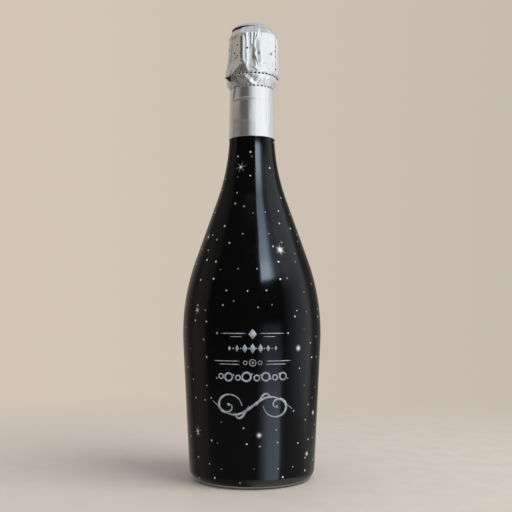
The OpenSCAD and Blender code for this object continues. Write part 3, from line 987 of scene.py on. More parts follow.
@dataclass(frozen=True)
class Ink(Finish):
    """Silver-grey printing ink, a little uneven."""

    colour: Colour = (0.42, 0.49, 0.55)
    thin: Colour = (0.25, 0.3, 0.34)

    def inputs(self, n: Nodes, effects: Effects, place: Socket) -> dict[str, object]:
        """Works out the shader's inputs.

        Args:
            n: the material's nodes.
            effects: the shared shader effects; not used.
            place: the object's own coordinates.

        Returns:
            A value or an output socket for each named input.
        """
        cover = n.between(n.noise(place, 260.0), 0.35, 0.65)
        return {
            "Base Color": n.mix(cover, self.thin, self.colour),
            "Roughness": n.between(n.noise(place, 900.0), 0.3, 0.7, 0.22, 0.34),
        }


@dataclass(frozen=True)
class BlackTape(Finish):
    """Black plastic tape with fine rolled lines and rubbed spots.

    Up to the share of its length that is covered it wears the foil that it tore off with it.
    """

    covered: float = 0.0
    blend: float = 0.02
    colour: Colour = (0.012, 0.012, 0.013)
    worn: Colour = (0.05, 0.05, 0.05)
    foil: Colour = (0.7, 0.7, 0.7)

    def inputs(self, n: Nodes, effects: Effects, place: Socket) -> dict[str, object]:
        """Works out the shader's inputs.

        Args:
            n: the material's nodes.
            effects: the shared shader effects.
            place: the object's own coordinates.

        Returns:
            A value or an output socket for each named input.
        """
        scuffs = effects.scuff(n, place, 150.0, 0.6)
        colour, metal = n.mix(scuffs, self.colour, self.worn), 0.0
        if self.covered:
            share = n.split(n.add("UVMap", uv_map="Surface").outputs[0])[0]
            metal = n.between(share, self.covered - self.blend, self.covered + self.blend, 1.0, 0.0)
            colour = n.mix(metal, colour, self.foil)
        return {
            "Base Color": colour,
            "Metallic": metal,
            "Roughness": n.math("MULTIPLY_ADD", scuffs, 0.25, 0.3),
            "Normal": n.bump(effects.sheet(n, place, 1.0, 0.6), 0.6, 0.1),
        }


@dataclass(frozen=True)
class Steel(Finish):
    """Tinned steel wire or sheet: bright, with dull patches and small dark specks."""

    colour: Colour = (0.62, 0.62, 0.61)
    dull: Colour = (0.33, 0.32, 0.3)
    roughness: float = 0.28

    def inputs(self, n: Nodes, effects: Effects, place: Socket) -> dict[str, object]:
        """Works out the shader's inputs.

        Args:
            n: the material's nodes.
            effects: the shared shader effects.
            place: the object's own coordinates.

        Returns:
            A value or an output socket for each named input.
        """
        scuffs = effects.scuff(n, place, 160.0, 0.9)
        return {
            "Base Color": n.mix(scuffs, self.colour, self.dull),
            "Metallic": 1.0,
            "Roughness": n.math("MULTIPLY_ADD", scuffs, 0.3, self.roughness),
            "Normal": n.bump(effects.sheet(n, place, 1.0, 0.4), 0.5, 0.1),
        }


@dataclass(frozen=True)
class CorkGrain(Finish):
    """Cork: pressed granules, or natural cork drawn out in layers, with dark pores."""

    pale: Colour = (0.58, 0.4, 0.235)
    dark: Colour = (0.34, 0.205, 0.11)
    pore: Colour = (0.12, 0.06, 0.03)
    granule: float = 2.2
    layers: float = 1.0

    def inputs(self, n: Nodes, effects: Effects, place: Socket) -> dict[str, object]:
        """Works out the shader's inputs.

        Args:
            n: the material's nodes.
            effects: the shared shader effects; not used.
            place: the object's own coordinates.

        Returns:
            A value or an output socket for each named input.
        """
        vector = n.vector("MULTIPLY", place, (1.0, 1.0, self.layers))
        net = {"Vector": vector, "Scale": 1 / (MM * self.granule)}
        cells = n.add("TexVoronoi", net).outputs["Color"]
        shade = n.add("SeparateColor", {0: cells}).outputs[0]
        edges = n.add("TexVoronoi", net, feature="DISTANCE_TO_EDGE").outputs["Distance"]
        seam = n.between(edges, 0.0, 0.09, 1.0, 0.0)
        pores = n.between(n.noise(vector, 1500.0, 2.0), 0.62, 0.72)
        body = n.mix(n.between(shade, 0.1, 0.9), self.pale, self.dark)
        height = n.minus(n.times(shade, 0.3), n.plus(seam, pores))
        return {
            "Base Color": n.mix(n.math("MAXIMUM", n.times(seam, 0.6), pores), body, self.pore),
            "Roughness": n.between(shade, 0.0, 1.0, 0.72, 0.9),
            "Normal": n.bump(height, 0.7, 0.15),
        }


def dress(piece: Piece, body: Body, slot: Slot, material: Material, *replaced: str) -> Piece:
    """Finishes a piece and says what it rides on and stands for.

    Args:
        piece: the new piece.
        body: the body that it moves with.
        slot: the record's slot that its finish comes from; not used.
        material: its material.
        replaced: the CAD nodes that it stands for.

    Returns:
        The piece.
    """
    piece.data.materials.clear()
    piece.data.materials.append(material)
    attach(piece, body.value)
    if replaced:
        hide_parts(*replaced)
    log.info("%s rides on %s, %d faces", piece.name, body.value, len(piece.data.polygons))
    return piece


# The glass


@dataclass(frozen=True)
class GlassForm:
    """The driving sizes of the glass, and the outlines that follow from them."""

    glass_h: float = 290.0
    body_r: float = 46.2
    widest_z: float = 97.6
    body_angle: float = 2.8
    shoulder_r: float = 143.6
    shoulder_angle: float = 19.7
    neck_blend_r: float = 141.0
    neck_r: float = 14.9
    neck_z: float = 228.0
    neck_angle: float = 1.3
    wall_t: float = 4.2
    base_t: float = 6.0
    heel_r: float = 7.0
    foot_w: float = 5.0
    punt_h: float = 27.0
    punt_top_r: float = 7.9
    punt_tip_r: float = 14.0
    bore_r: float = 8.75
    bore_len: float = 26.0
    bead_r: float = 14.3
    bead_h: float = 8.5
    ring_r: float = 14.8
    ring_drop: float = 20.0
    ring_h: float = 7.5
    groove_h: float = 3.5
    groove_depth: float = 0.5
    recess_depth: float = 0.9
    fill_z: float = 216.0

    @property
    def base_line(self) -> Line:
        """The plane that the bottle stands on."""
        return Line(0, 0, 0)

    def tangent(self, angle: float) -> Line:
        """The line that touches the widest round at so many degrees above its middle."""
        c = self.shoulder_r * along(angle)
        return Line(self.body_r - self.shoulder_r + c[0], self.widest_z + c[1], 90 + angle)

    @property
    def body_line(self) -> Line:
        """The straight wall below the widest place."""
        return self.tangent(-self.body_angle)

    @property
    def shoulder_line(self) -> Line:
        """The straight part of the shoulder."""
        return self.tangent(self.shoulder_angle)

    @property
    def punt_line(self) -> Line:
        """The side of the punt."""
        angle = math.degrees(math.atan2(self.punt_h, self.foot_in_r - self.punt_top_r))
        return Line(self.foot_in_r, 0, -angle)

    @property
    def neck_line(self) -> Line:
        """The neck's wall."""
        return Line(self.neck_r, self.neck_z, 90 + self.neck_angle)

    @property
    def foot_in_r(self) -> float:
        """Where the punt's side meets the base."""
        out = self.base_line.meet(self.body_line)[0]
        return out - self.heel_r * math.tan(math.radians(45 + self.body_angle / 2)) - self.foot_w

    def side(self, e: float) -> list[Corner]:
        """The corners from the heel to the neck, e outside the glass.

        Args:
            e: how far outside the glass they are.

        Returns:
            The radius, height and round of each corner.
        """
        lines = (self.base_line, self.body_line, self.shoulder_line, self.neck_line)
        base, body, shoulder, neck = (line.moved(e) for line in lines)
        return [
            (*base.meet(body), self.heel_r + e),
            (*body.meet(shoulder), self.shoulder_r + e),
            (*shoulder.meet(neck), self.neck_blend_r - e),
        ]

    def skin(self, e: float, low: float, high: float, most: float) -> Array:
        """The outline e outside the glass between two heights, without the foot.

        Args:
            e: how far outside the glass it is.
            low: its lower end.
            high: its upper end.
            most: the longest gap between its points.

        Returns:
            The radius and height of each point.
        """
        neck = self.neck_line.moved(e)
        outline = rounded([(0, -e, 0), *self.side(e), (*neck.at_height(self.glass_h), 0)], 1.0)
        outline = filled(outline, most / 4)
        first = int(np.argmax(outline[:, 0] > self.foot_in_r + 2 * self.foot_w))
        heights = outline[(outline[:, 1] > low + 0.05) & (outline[:, 1] < high - 0.05), 1]
        heights = np.r_[low, np.sort(heights), high]
        path = np.stack([np.interp(heights, outline[first:, 1], outline[first:, 0]), heights], 1)
        gone = float(np.linalg.norm(np.diff(path, axis=0), axis=1).sum())
        return evenly(path, math.ceil(gone / most) + 1)

    def radius(self, z: Array, e: float = 0.0) -> Array:
        """The radius of the outline e outside the glass at any height of the body or neck."""
        outline = self.skin(e, 2.0, self.glass_h - 25, 0.5)
        return np.interp(z, outline[:, 1], outline[:, 0])

    def cavity(self, e: float) -> list[Corner]:
        """The corners of the cavity from the neck down to the axis, drawn in by e.

        Args:
            e: how far inside the cavity's wall they are.

        Returns:
            The radius, height and round of each corner.
        """
        lines = (self.body_line, self.shoulder_line, self.neck_line)
        body, shoulder, neck = (line.moved(-self.wall_t - e) for line in lines)
        punt, tip = (line.moved(-self.base_t - e) for line in (self.punt_line, Line(0, self.punt_h, 0)))
        return [
            (*neck.at_height(self.glass_h - self.bore_len - 5), 6),
            (*shoulder.meet(neck), self.neck_blend_r + self.wall_t + e),
            (*body.meet(shoulder), self.shoulder_r - self.wall_t - e),
            (*body.meet(punt), 5),
            (*punt.meet(tip), self.punt_tip_r + self.base_t + e),
            (0, tip.y, 0),
        ]

    def mouth(self) -> list[Corner]:
        """The corners of the mouth's outside from the neck up, and down its bore.

        Returns:
            The radius, height and round of each corner.
        """
        ring_z, bead_z = self.glass_h - self.ring_drop, self.glass_h - self.bead_h
        groove_z = ring_z - self.groove_h
        groove_r = self.neck_line.at_height(ring_z)[0] - self.groove_depth
        recess_r = self.bead_r - self.recess_depth
        return [
            (*self.neck_line.at_height(groove_z - 1.5), 1.6), (groove_r, groove_z, 1.6),
            (groove_r, ring_z, 0.35), (self.ring_r, ring_z, 0.7),
            (self.ring_r, ring_z + self.ring_h - 1.6, 1.6), (recess_r, ring_z + self.ring_h, 0.9),
            (recess_r, bead_z - 0.6, 0.3), (self.bead_r, bead_z, 0.6),
            (self.bead_r, self.glass_h, 1.6), (self.bore_r, self.glass_h, 0.8),
            (self.bore_r, self.glass_h - self.bore_len, 6),
        ]

    def section(self) -> Array:
        """The whole section of the glass, from the punt's tip round to the cavity's floor.

        Returns:
            The radius and height of each point.
        """
        punt, tip = self.punt_line, Line(0, self.punt_h, 0)
        corners = [(0, self.punt_h, 0), (*tip.meet(punt), self.punt_tip_r), (self.foot_in_r, 0, 2.6)]
        return rounded(corners + self.side(0) + self.mouth() + self.cavity(0), 8.0)


@dataclass
class Bottle:
    """The glass and the wine in it."""

    form: GlassForm
    cols: int = 160
    step: float = 4.0
    meniscus: float = 0.9
    wine_gap: float = 0.1
    wall_end: float = 0.5

    def glass(self) -> Piece:
        """The glass as one closed turned surface, with the ends of its section on the axis."""
        outline = filled(self.form.section(), self.step)[1:-1]
        return Grid(turned(outline, self.cols), pole=Pole.BOTH).object("bottle_glass")

    def wine(self) -> Piece:
        """The wine, turned from the cavity's outline, with its surface drawn up at the wall.

        Returns:
            The piece, not yet dressed.
        """
        f = self.form
        corners = f.cavity(self.wine_gap)
        inside = rounded([(0, f.glass_h, 0), (corners[0][0], f.glass_h, 0), *corners], 8.0)
        inside = filled(inside[::-1], self.step)
        wall = inside[inside[:, 1] < f.fill_z - self.wall_end]
        side = inside[inside[:, 0] > f.bore_r / 2]
        top_r = float(np.interp(f.fill_z, side[:, 1], side[:, 0]))
        share = np.linspace(1, 0.02, 14)
        surface = np.stack([top_r * share, f.fill_z - self.meniscus * (1 - share**6)], 1)
        outline = np.r_[wall[1:], surface]
        return Grid(turned(outline, self.cols), pole=Pole.BOTH).object("wine_fill")

    def build(self, effects: Effects) -> None:
        """Builds and dresses both."""
        dress(self.glass(), Body.BOTTLE, Slot.GLASS, Glass("green_glass").build(effects), "glass_bottle")
        dress(self.wine(), Body.BOTTLE, Slot.WINE, Wine("pale_wine").build(effects), "wine")


# The sleeve and its print


@dataclass
class Sleeve:
    """The printed shrink sleeve, a thin shell over the glass."""

    form: GlassForm
    cols: int = 256
    step: float = 1.3
    gap: float = 0.05
    thickness: float = 0.25
    low: float = 1.3
    high: float = 235.8
    wave: float = 0.035
    calm_low: float = 8.0
    calm_high: float = 232.0
    sparkles: tuple[Sparkle, ...] = (
        Sparkle(-24, 207, 4.2, 0.55, 12), Sparkle(30, 151.5, 4.6, 1.5, 30),
        Sparkle(-50, 113, 3.2, 0.6, 75), Sparkle(-53, 35, 4.6, 0.6, 15),
        Sparkle(-61, 161, 3.4, 0.5, 40), Sparkle(39.5, 89, 2, 1.25, 0),
        Sparkle(6, 35, 1.6, 1.1, 0), Sparkle(65, 46, 2.2, 1, 55),
        Sparkle(56, 20, 1.8, 1, 5), Sparkle(98, 176, 4, 0.6, 25),
        Sparkle(112, 70, 4.4, 1.3, 50), Sparkle(150, 128, 4.2, 0.6, 10),
        Sparkle(166, 34, 2, 1.2, 0), Sparkle(-104, 92, 2, 1.2, 0),
        Sparkle(-121, 142, 4.2, 1.2, 35), Sparkle(-152, 60, 4.4, 0.6, 65),
    )

    def shell(self) -> Piece:
        """The sleeve. Its outside has the film's shallow upright waves.

        Returns:
            The piece, not yet dressed.
        """
        f = self.form
        outside = f.skin(self.gap + self.thickness, self.low, self.high, self.step)
        inside = f.skin(self.gap, self.low, self.high, 3 * self.step)[::-1]
        outline = np.r_[outside, inside]
        azimuth, z = azimuths(self.cols), outline[:, 1][:, None]
        waves = Waves(11, 40, 60.0)(azimuth, z) + 0.5 * Waves(12, 90, 18.0)(azimuth, z)
        hold = ease((z - self.calm_low) / 12) * ease((self.calm_high - z) / 8)
        hold = hold * (np.arange(len(outline)) < len(outside))[:, None]
        relief = self.wave * (waves - 1.5) / 2 * hold
        return Grid(turned(outline, self.cols, relief), loop=True).object("sleeve_shell")

    def build(self, effects: Effects) -> None:
        """Builds and dresses it."""
        material = SleevePrint("starry_film", self.sparkles).build(effects)
        dress(self.shell(), Body.BOTTLE, Slot.SLEEVE, material, "printed_sleeve")


@dataclass
class Strokes:
    """Flat printed shapes, gathered in the plane of the print and laid on the sleeve."""

    points: list[Array] = field(default_factory=list)
    faces: list[Array] = field(default_factory=list)
    count: int = 0

    def ribbon(self, path: Array, width: Array, closed: bool = False) -> None:
        """Adds a stroke: each point of the path is drawn apart by half the width on each side.

        Args:
            path: the points of the stroke's middle.
            width: its width at each point.
            closed: whether the last point joins the first.
        """
        if closed:
            way = np.roll(path, -1, 0) - np.roll(path, 1, 0)
        else:
            way = np.gradient(path, axis=0)
        way /= np.linalg.norm(way, axis=1, keepdims=True)
        side = np.stack([-way[:, 1], way[:, 0]], 1) * (width / 2)[:, None]
        n = len(path)
        i = np.arange(n if closed else n - 1)
        j = (i + 1) % n
        self.points.append(np.r_[path - side, path + side])
        self.faces.append(np.stack([i, j, j + n, i + n], 1) + self.count)
        self.count += 2 * n

    def disc(self, x: float, y: float, rx: float, ry: float, sides: int = 24) -> None:
        """Adds a filled ellipse, or a lozenge where it has 4 sides, as quads between two arcs.

        Args:
            x: where its middle is across the print.
            y: where its middle is up the print.
            rx: half its width.
            ry: half its height.
            sides: how many sides its outline has.
        """
        half = np.linspace(0, math.pi, sides // 2 + 1)
        up = np.stack([x + rx * np.cos(half), y + ry * np.sin(half)], 1)
        down = np.stack([x + rx * np.cos(half), y - ry * np.sin(half)], 1)
        n = len(up)
        i = np.arange(n - 1)
        self.points.append(np.r_[down, up])
        self.faces.append(np.stack([i + 1, i, i + n, i + 1 + n], 1) + self.count)
        self.count += 2 * n

    def ring(self, x: float, y: float, radius: float, width: float) -> None:
        """Adds a ring."""
        turn = np.linspace(0, 2 * math.pi, 49)[:-1]
        self.ribbon(arc(x, y, radius, turn), np.full(48, width), True)

    def rule(self, x0: float, x1: float, y: float, width: float) -> None:
        """Adds a straight rule whose ends taper.

        Args:
            x0: where it starts.
            x1: where it ends.
            y: where it is up the print.
            width: its greatest width.
        """
        share = np.linspace(0, 1, 41)
        path = np.stack([x0 + (x1 - x0) * share, np.full(41, y)], 1)
        self.ribbon(path, width * np.minimum(1, 0.15 + 6 * np.minimum(share, 1 - share)))


@dataclass
class Ornament:
    """The silver print on the front: rules, lozenges, bubbles and a double scroll.

    Sizes are in mm across and up the sleeve, measured from the middle of the print.
    """

    form: GlassForm
    bearing: float = 0.6
    scroll_z: float = 53.4
    sleeve_out: float = 0.3
    lift: float = 0.004
    thickness: float = 0.02

    def rows(self, s: Strokes) -> None:
        """The four rows over the scroll: fine, bold, fine and bold.

        Args:
            s: the strokes that they are added to.
        """
        for side in (-1, 1):
            s.rule(side * 4.2, side * 20.5, 98.6, 0.55)
            s.rule(side * 6.5, side * 14.5, 96.6, 0.35)
            s.disc(side * 23.2, 98.6, 0.7, 0.7)
        s.disc(0, 98.2, 2.6, 3.3, 4)
        for k, size in ((-3, 1.5), (-2, 2.1), (-1, 2.7), (0, 3.2), (1, 2.7), (2, 2.1), (3, 1.5)):
            s.disc(4.9 * k, 89.3, 0.62 * size, size, 4)
            if k < 3:
                s.disc(4.9 * k + 2.45, 89.3, 0.42, 0.42)
        for side in (-1, 1):
            s.rule(side * 8.0, side * 25.5, 81.4, 0.5)
            s.rule(side * 8.0, side * 22.0, 79.4, 0.5)
            s.ring(side * 4.6, 80.4, 1.15, 0.4)
        s.ring(0, 80.4, 2.0, 0.5)
        s.disc(0, 80.4, 0.7, 0.7)
        for x, y, r, w in ((-20.4, 71.8, 1.5, 0.75), (-15.3, 71.4, 2.4, 1.1), (-9.2, 71.0, 1.5, 0.8),
                           (-3.9, 71.6, 2.7, 1.15), (2.6, 70.9, 1.7, 0.85), (8.2, 71.6, 2.5, 1.1),
                           (14.2, 71.1, 1.6, 0.8), (19.6, 71.7, 2.2, 1.0)):
            s.ring(x, y, r, w)
        for x, y, r in ((-12.2, 72.6, 0.65), (-6.6, 70.0, 0.5), (-0.5, 73.2, 0.55), (5.2, 72.7, 0.6),
                        (11.4, 70.2, 0.55), (17.0, 73.3, 0.5), (22.8, 70.3, 0.5), (-23.4, 70.4, 0.5)):
            s.disc(x, y, r, r)

    def scroll(self, s: Strokes) -> None:
        """A double scroll: two spirals joined by a wave, thick in the middle of each stroke.

        Args:
            s: the strokes that it is added to.
        """
        t = np.linspace(0, 1, 161)
        mid = self.scroll_z
        for side in (-1, 1):
            turn = 2.35 * math.pi * t
            radius = 8.2 * (1 - t) ** 0.85 + 0.9
            x = side * (15.8 + radius * np.cos(turn + math.pi))
            y = mid + side * radius * np.sin(turn + math.pi) * 0.92
            s.ribbon(np.stack([x, y], 1), 0.45 + 1.5 * np.sin(math.pi * t) ** 2 * (1 - 0.5 * t))
            s.disc(float(x[-1]), float(y[-1]), 0.95, 0.95)
        wave = np.linspace(-1, 1, 121)
        path = np.stack([26.5 * wave, mid + 5.6 * np.sin(math.pi * 1.15 * wave)], 1)
        s.ribbon(path, 0.4 + 1.1 * np.cos(math.pi / 2 * wave) ** 2)
        for side in (-1, 1):
            leaf = np.linspace(0, 1, 41)
            rise = 8.6 * np.sin(2.4 * leaf) - 1.5 * leaf
            path = np.stack([side * (2.5 + 9.5 * leaf), mid + side * rise], 1)
            s.ribbon(path, 0.25 + 1.1 * np.sin(math.pi * leaf))
            s.disc(side * 27.8, mid - side * 4.2, 0.6, 0.6)

    def build(self, effects: Effects) -> None:
        """Draws the print, lays it on the sleeve and dresses it.

        Args:
            effects: the shared shader effects.
        """
        s = Strokes()
        self.rows(s)
        self.scroll(s)
        flat = np.concatenate(s.points)
        faces = np.concatenate(s.faces)
        radius = self.form.radius(flat[:, 1], self.sleeve_out) + self.lift
        turn = np.radians(FRONT + self.bearing) + flat[:, 0] / radius
        points = np.stack([radius * np.cos(turn), radius * np.sin(turn), flat[:, 1]], 1)
        piece = mesh_object("sleeve_ornament", points, faces.ravel(), np.full(len(faces), 4))
        thickened(piece, self.thickness, 1.0)
        dress(piece, Body.BOTTLE, Slot.SLEEVE, Ink("silver_ink").build(effects))


# The foil capsule


@dataclass(frozen=True)
class HoodForm:
    """The driving sizes of the cork, the wire hood and the foil, and the places that follow."""

    glass: GlassForm
    frame_d: float = 0.8
    belt_d: float = 1.0
    legs: int = 4
    leg_turns: int = 4
    leg_azimuth: float = 66.0
    tail_turns: int = 2
    tail_azimuth: float = 8.0
    tail_h: float = 9.5
    loop_h: float = 8.0
    loop_w: float = 6.6
    plaque_t: float = 0.3
    plaque_edge_r: float = 4.0
    head_r: float = 14.3
    head_h: float = 13.3
    ledge_drop: float = 6.2
    ledge_w: float = 2.5
    foil_t: float = 0.25
    sleeve_t: float = 0.25
    skirt_len: float = 33.5
    strip_h: float = 7.6
    hole_pitch: float = 2.7
    hole_w: float = 1.1
    hole_h: float = 1.0
    tab_azimuth: float = 231.0
    skin_gap: float = 0.05
    wire_gap: float = 0.1
    seat_gap: float = 0.15
    foil_gap: float = 0.15

    @property
    def ring_z(self) -> float:
        """The underside of the glass ring that the hood hooks under."""
        return self.glass.glass_h - self.glass.ring_drop

    @property
    def eye_r(self) -> float:
        """The radius of a leg's eye round the belt."""
        return self.belt_d / 2 + self.wire_gap + self.frame_d / 2

    @property
    def belt_z(self) -> float:
        """The height of the belt."""
        return self.ring_z - self.eye_r - self.frame_d / 2 - self.skin_gap

    @property
    def belt_r(self) -> float:
        """The radius of the belt's ring."""
        groove_r = self.glass.neck_line.at_height(self.ring_z)[0] - self.glass.groove_depth
        return groove_r + self.seat_gap + self.frame_d + self.wire_gap + self.belt_d / 2

    @property
    def strip_high(self) -> float:
        """The strip's upper edge."""
        return self.belt_z + self.frame_d / 2

    @property
    def strip_low(self) -> float:
        """The strip's lower edge."""
        return self.strip_high - self.strip_h

    @property
    def skirt_r(self) -> float:
        """The skirt's outer radius at the strip."""
        return self.glass.neck_line.moved(self.skirt_gap + self.foil_t).at_height(self.strip_low)[0]

    @property
    def skirt_gap(self) -> float:
        """How far the skirt's inside is from the glass."""
        return 2 * self.skin_gap + self.sleeve_t

    @property
    def pair_r(self) -> float:
        """How far each wire of a leg is from the leg's middle."""
        return self.frame_d / 2 + self.wire_gap / 2

    @property
    def seat_r(self) -> float:
        """The widest of the glass ring, the bead and the cork's head."""
        return max(self.glass.ring_r, self.glass.bead_r, self.head_r)

    @property
    def leg_r(self) -> float:
        """The radius of the legs' middles."""
        return self.seat_r + self.seat_gap + self.pair_r + self.frame_d / 2

    @property
    def strip_r(self) -> float:
        """The outer radius of the foil where the strip meets the crown."""
        eye = self.belt_r + self.eye_r + self.frame_d / 2
        leg = self.leg_r + self.pair_r + self.frame_d / 2
        return max(eye, leg) + self.foil_gap + self.foil_t + self.skin_gap

    @property
    def head_top(self) -> float:
        """The top of the cork's head."""
        return self.glass.glass_h + self.head_h

    @property
    def ledge_z(self) -> float:
        """The ledge that the hood's ring presses into the head."""
        return self.head_top - self.ledge_drop

    @property
    def plaque_in_r(self) -> float:
        """The plaque's inner radius."""
        return self.head_r - self.ledge_w + 2 * self.wire_gap + self.frame_d

    @property
    def over_z(self) -> float:
        """The height at which a leg's wires pass the cork's shoulder."""
        return self.ledge_z + self.wire_gap + 0.6 * self.frame_d

    def from_leg(self, azimuth: Array) -> Array:
        """How many degrees each azimuth is from the nearest leg."""
        return np.abs(turn_gap(azimuth * self.legs, self.leg_azimuth * self.legs)) / self.legs


def notched(azimuth: Array, radius: float, form: HoodForm) -> Array:
    """How deep the half holes of the perforation cut into a foil edge, in mm.

    The depth is half a hole's height times the root of one less the square of the distance
    from the hole's middle over half its width.

    Args:
        azimuth: the azimuth of each column, in degrees.
        radius: the radius of the torn edge.
        form: the driving sizes.

    Returns:
        The depth at each azimuth.
    """
    count = math.floor(2 * math.pi * radius / form.hole_pitch)
    off = (azimuth / 360 * count + 0.5) % 1.0 - 0.5
    off = off * 2 * math.pi * radius / count / (form.hole_w / 2)
    return form.hole_h / 2 * np.sqrt(np.clip(1 - off**2, 0, 1))


@dataclass
class Skirt:
    """The foil skirt round the neck, with a ring crease, folds and its glued overlap."""

    form: HoodForm
    cols: int = 480
    step: float = 0.56
    flat_z: float = 236.5
    crease_z: float = 253.0
    crease_bearing: float = -8.0
    uprights: tuple[tuple[float, ...], ...] = ((41, 0.16, 0.35, 234, 5), (62, 0.1, 0.4, 262, -20))
    fold_bearing: float = -51.0
    fold_z: float = 258.0
    fold_lean: float = 0.9
    fold_low: float = 251.5
    fold_depth: float = 0.15
    lip_h: float = 0.6
    crease_h: float = 0.3
    crease_w: float = 0.45
    broad_h: float = 0.075
    fine_h: float = 0.02
    overlap_azimuth: float = 90.0
    overlap_w: float = 6.0

    def relief(self, azimuth: Array, z: Array) -> Array:
        """What the foil's creases and waves add to its radius.

        It is the sum of soft waves, a level raised ring that is strongest near the front,
        upright creases and one leaning fold, all of which die away where the foil lies flat
        on the sleeve, and half the foil's thickness over the glued overlap.

        Args:
            azimuth: the azimuth of each column.
            z: the height of each row.

        Returns:
            The change of radius at each point, in mm.
        """
        f = self.form
        girth = f.skirt_r * math.pi / 180
        free = ease((z - self.flat_z) / 3)
        waves = self.broad_h * Waves(21, 18, 15.0)(azimuth, z)
        waves = waves + self.fine_h * Waves(22, 52, 6.0)(azimuth, z)
        front = hump(turn_gap(azimuth, FRONT + self.crease_bearing), 38.0)
        around = 0.2 + 0.8 * front + 0.2 * Waves(23, 9, 40.0)(azimuth, z * 0)
        level = self.crease_z + 0.5 * Waves(24, 7, 40.0)(azimuth, z * 0)
        ring = self.crease_h * hump(z - level, self.crease_w) - 0.08 * hump(z - level + 1.3, 0.8)
        upright = sum(
            -depth * hump(turn_gap(azimuth, FRONT + bearing) * girth, width) * ease((z - start) / rise)
            for bearing, depth, width, start, rise in self.uprights
        )
        lean = (z - self.fold_z) * self.fold_lean
        wedge = turn_gap(azimuth, FRONT + self.fold_bearing + lean) * girth
        deep = -self.fold_depth * hump(wedge - 1.0, 0.8) * ease((z - (self.fold_low + 1)) / 4)
        lip = self.lip_h * hump(wedge + 0.5, 0.85) * ease((z - self.fold_low) / 5)
        total = (waves + ring * around + upright + deep + lip) * free
        behind = turn_gap(azimuth, self.overlap_azimuth) * girth
        step = ease(behind / 0.15) * ease((self.overlap_w - behind) / 2.5)
        return total + f.foil_t / 2 * step

    def build(self, effects: Effects) -> None:
        """Builds and dresses it.

        Args:
            effects: the shared shader effects.
        """
        f = self.form
        low = f.strip_low - f.skirt_len
        outline = f.glass.skin(f.skirt_gap + f.foil_t, low, f.strip_low, self.step)
        azimuth, z = azimuths(self.cols), outline[:, 1][:, None]
        points = turned(outline, self.cols, self.relief(azimuth, z))
        top = ease((z - f.strip_low + 1.2) / 1.2)
        points[..., 2] -= top * notched(azimuth, f.skirt_r, f)
        piece = thickened(Grid(points).object("capsule_skirt"), f.foil_t - 0.03)
        dress(piece, Body.BOTTLE, Slot.FOIL, Foil("skirt_foil").build(effects), "foil_skirt")


@dataclass
class Strip:
    """The tear strip with its tape inside, between the two rows of perforations."""

    form: HoodForm
    cols: int = 480
    rows: int = 26
    low_share: float = 0.3
    high_share: float = 0.86
    slit_share: float = 0.32
    slit_half: float = 1.2
    fold_count: int = 9
    fold_h: float = 1.0
    fine_count: int = 23
    fine_h: float = 0.2
    wave_h: float = 0.08
    set_in: float = 0.16
    tape_t: float = 0.3

    def curve(self, share: Array, e: float) -> Array:
        """The strip's section: a Bezier curve from the skirt's radius out to the crown's.

        Args:
            share: how far up the strip each row is, from 0 to 1.
            e: how far outside the foil it is.

        Returns:
            The radius and height of each row.
        """
        f = self.form
        t = share[:, None]
        p = np.array([
            [f.skirt_r + e, f.strip_low], [f.skirt_r + e, f.strip_low + 0.3 * f.strip_h],
            [f.strip_r + e, f.strip_low + 0.45 * f.strip_h], [f.strip_r + e, f.strip_high],
        ])
        return p[0] * (1 - t) ** 3 + 3 * p[1] * t * (1 - t) ** 2 + 3 * p[2] * t**2 * (1 - t) + p[3] * t**3

    def folds(self, azimuth: Array, share: Array) -> Array:
        """Folds that wind up the strip, deepest in its middle.

        Args:
            azimuth: the azimuth of each column, in degrees.
            share: how far up the strip each row is, from 0 to 1.

        Returns:
            The change of radius at each point.
        """
        turn, still = azimuth / 360, share * 0
        slant = ridges(turn * self.fold_count + 0.7 * share + 0.3 * Waves(31, 9, 40.0)(azimuth, still))
        fine = ridges(turn * self.fine_count - 0.8 * share + 0.3 * Waves(32, 15, 40.0)(azimuth, still))
        waves = Waves(33, 20, 0.6)(azimuth, share)
        rows = self.fold_h * slant + self.fine_h * fine + self.wave_h * waves - self.set_in
        return rows * np.sin(np.pi * share) ** 0.7

    def strip(self) -> Piece:
        """The foil band. The faces over the slit that the tab comes out of are left out.

        Returns:
            The piece, not yet dressed.
        """
        f = self.form
        share = np.linspace(0, 1, self.rows)
        outline = self.curve(share, 0)
        azimuth, up = azimuths(self.cols), share[:, None]
        points = turned(outline, self.cols, self.folds(azimuth, up))
        points[..., 2] += ease(1 - up * self.rows / 4) * notched(azimuth, f.skirt_r, f)
        points[..., 2] -= ease(1 - (1 - up) * self.rows / 4) * notched(azimuth, f.strip_r, f)
        near = np.abs(turn_gap(azimuth, f.tab_azimuth)) < self.slit_half
        slit = near & (up[:-1] > self.slit_share) & (up[:-1] < self.high_share)
        return thickened(Grid(points, keep=~slit).object("capsule_strip"), f.foil_t - 0.03)

    def tape(self) -> Piece:
        """The tape against the strip's inside, as a closed ring.

        Returns:
            The piece, not yet dressed.
        """
        share = np.linspace(self.low_share, self.high_share, 12)
        e = -self.form.foil_t - self.form.skin_gap / 2
        outside, inside = self.curve(share, e), self.curve(share[::-1], e - self.tape_t / 2)
        return Grid(turned(np.r_[outside, inside], 240), loop=True).object("strip_tape")

    def build(self, effects: Effects) -> None:
        """Builds and dresses both.

        Args:
            effects: the shared shader effects.
        """
        foil = Foil("strip_foil").build(effects)
        dress(self.strip(), Body.BOTTLE, Slot.FOIL, foil, "tear_strip")
        dress(self.tape(), Body.BOTTLE, Slot.TAPE, BlackTape("tape_film").build(effects), "tear_tape")


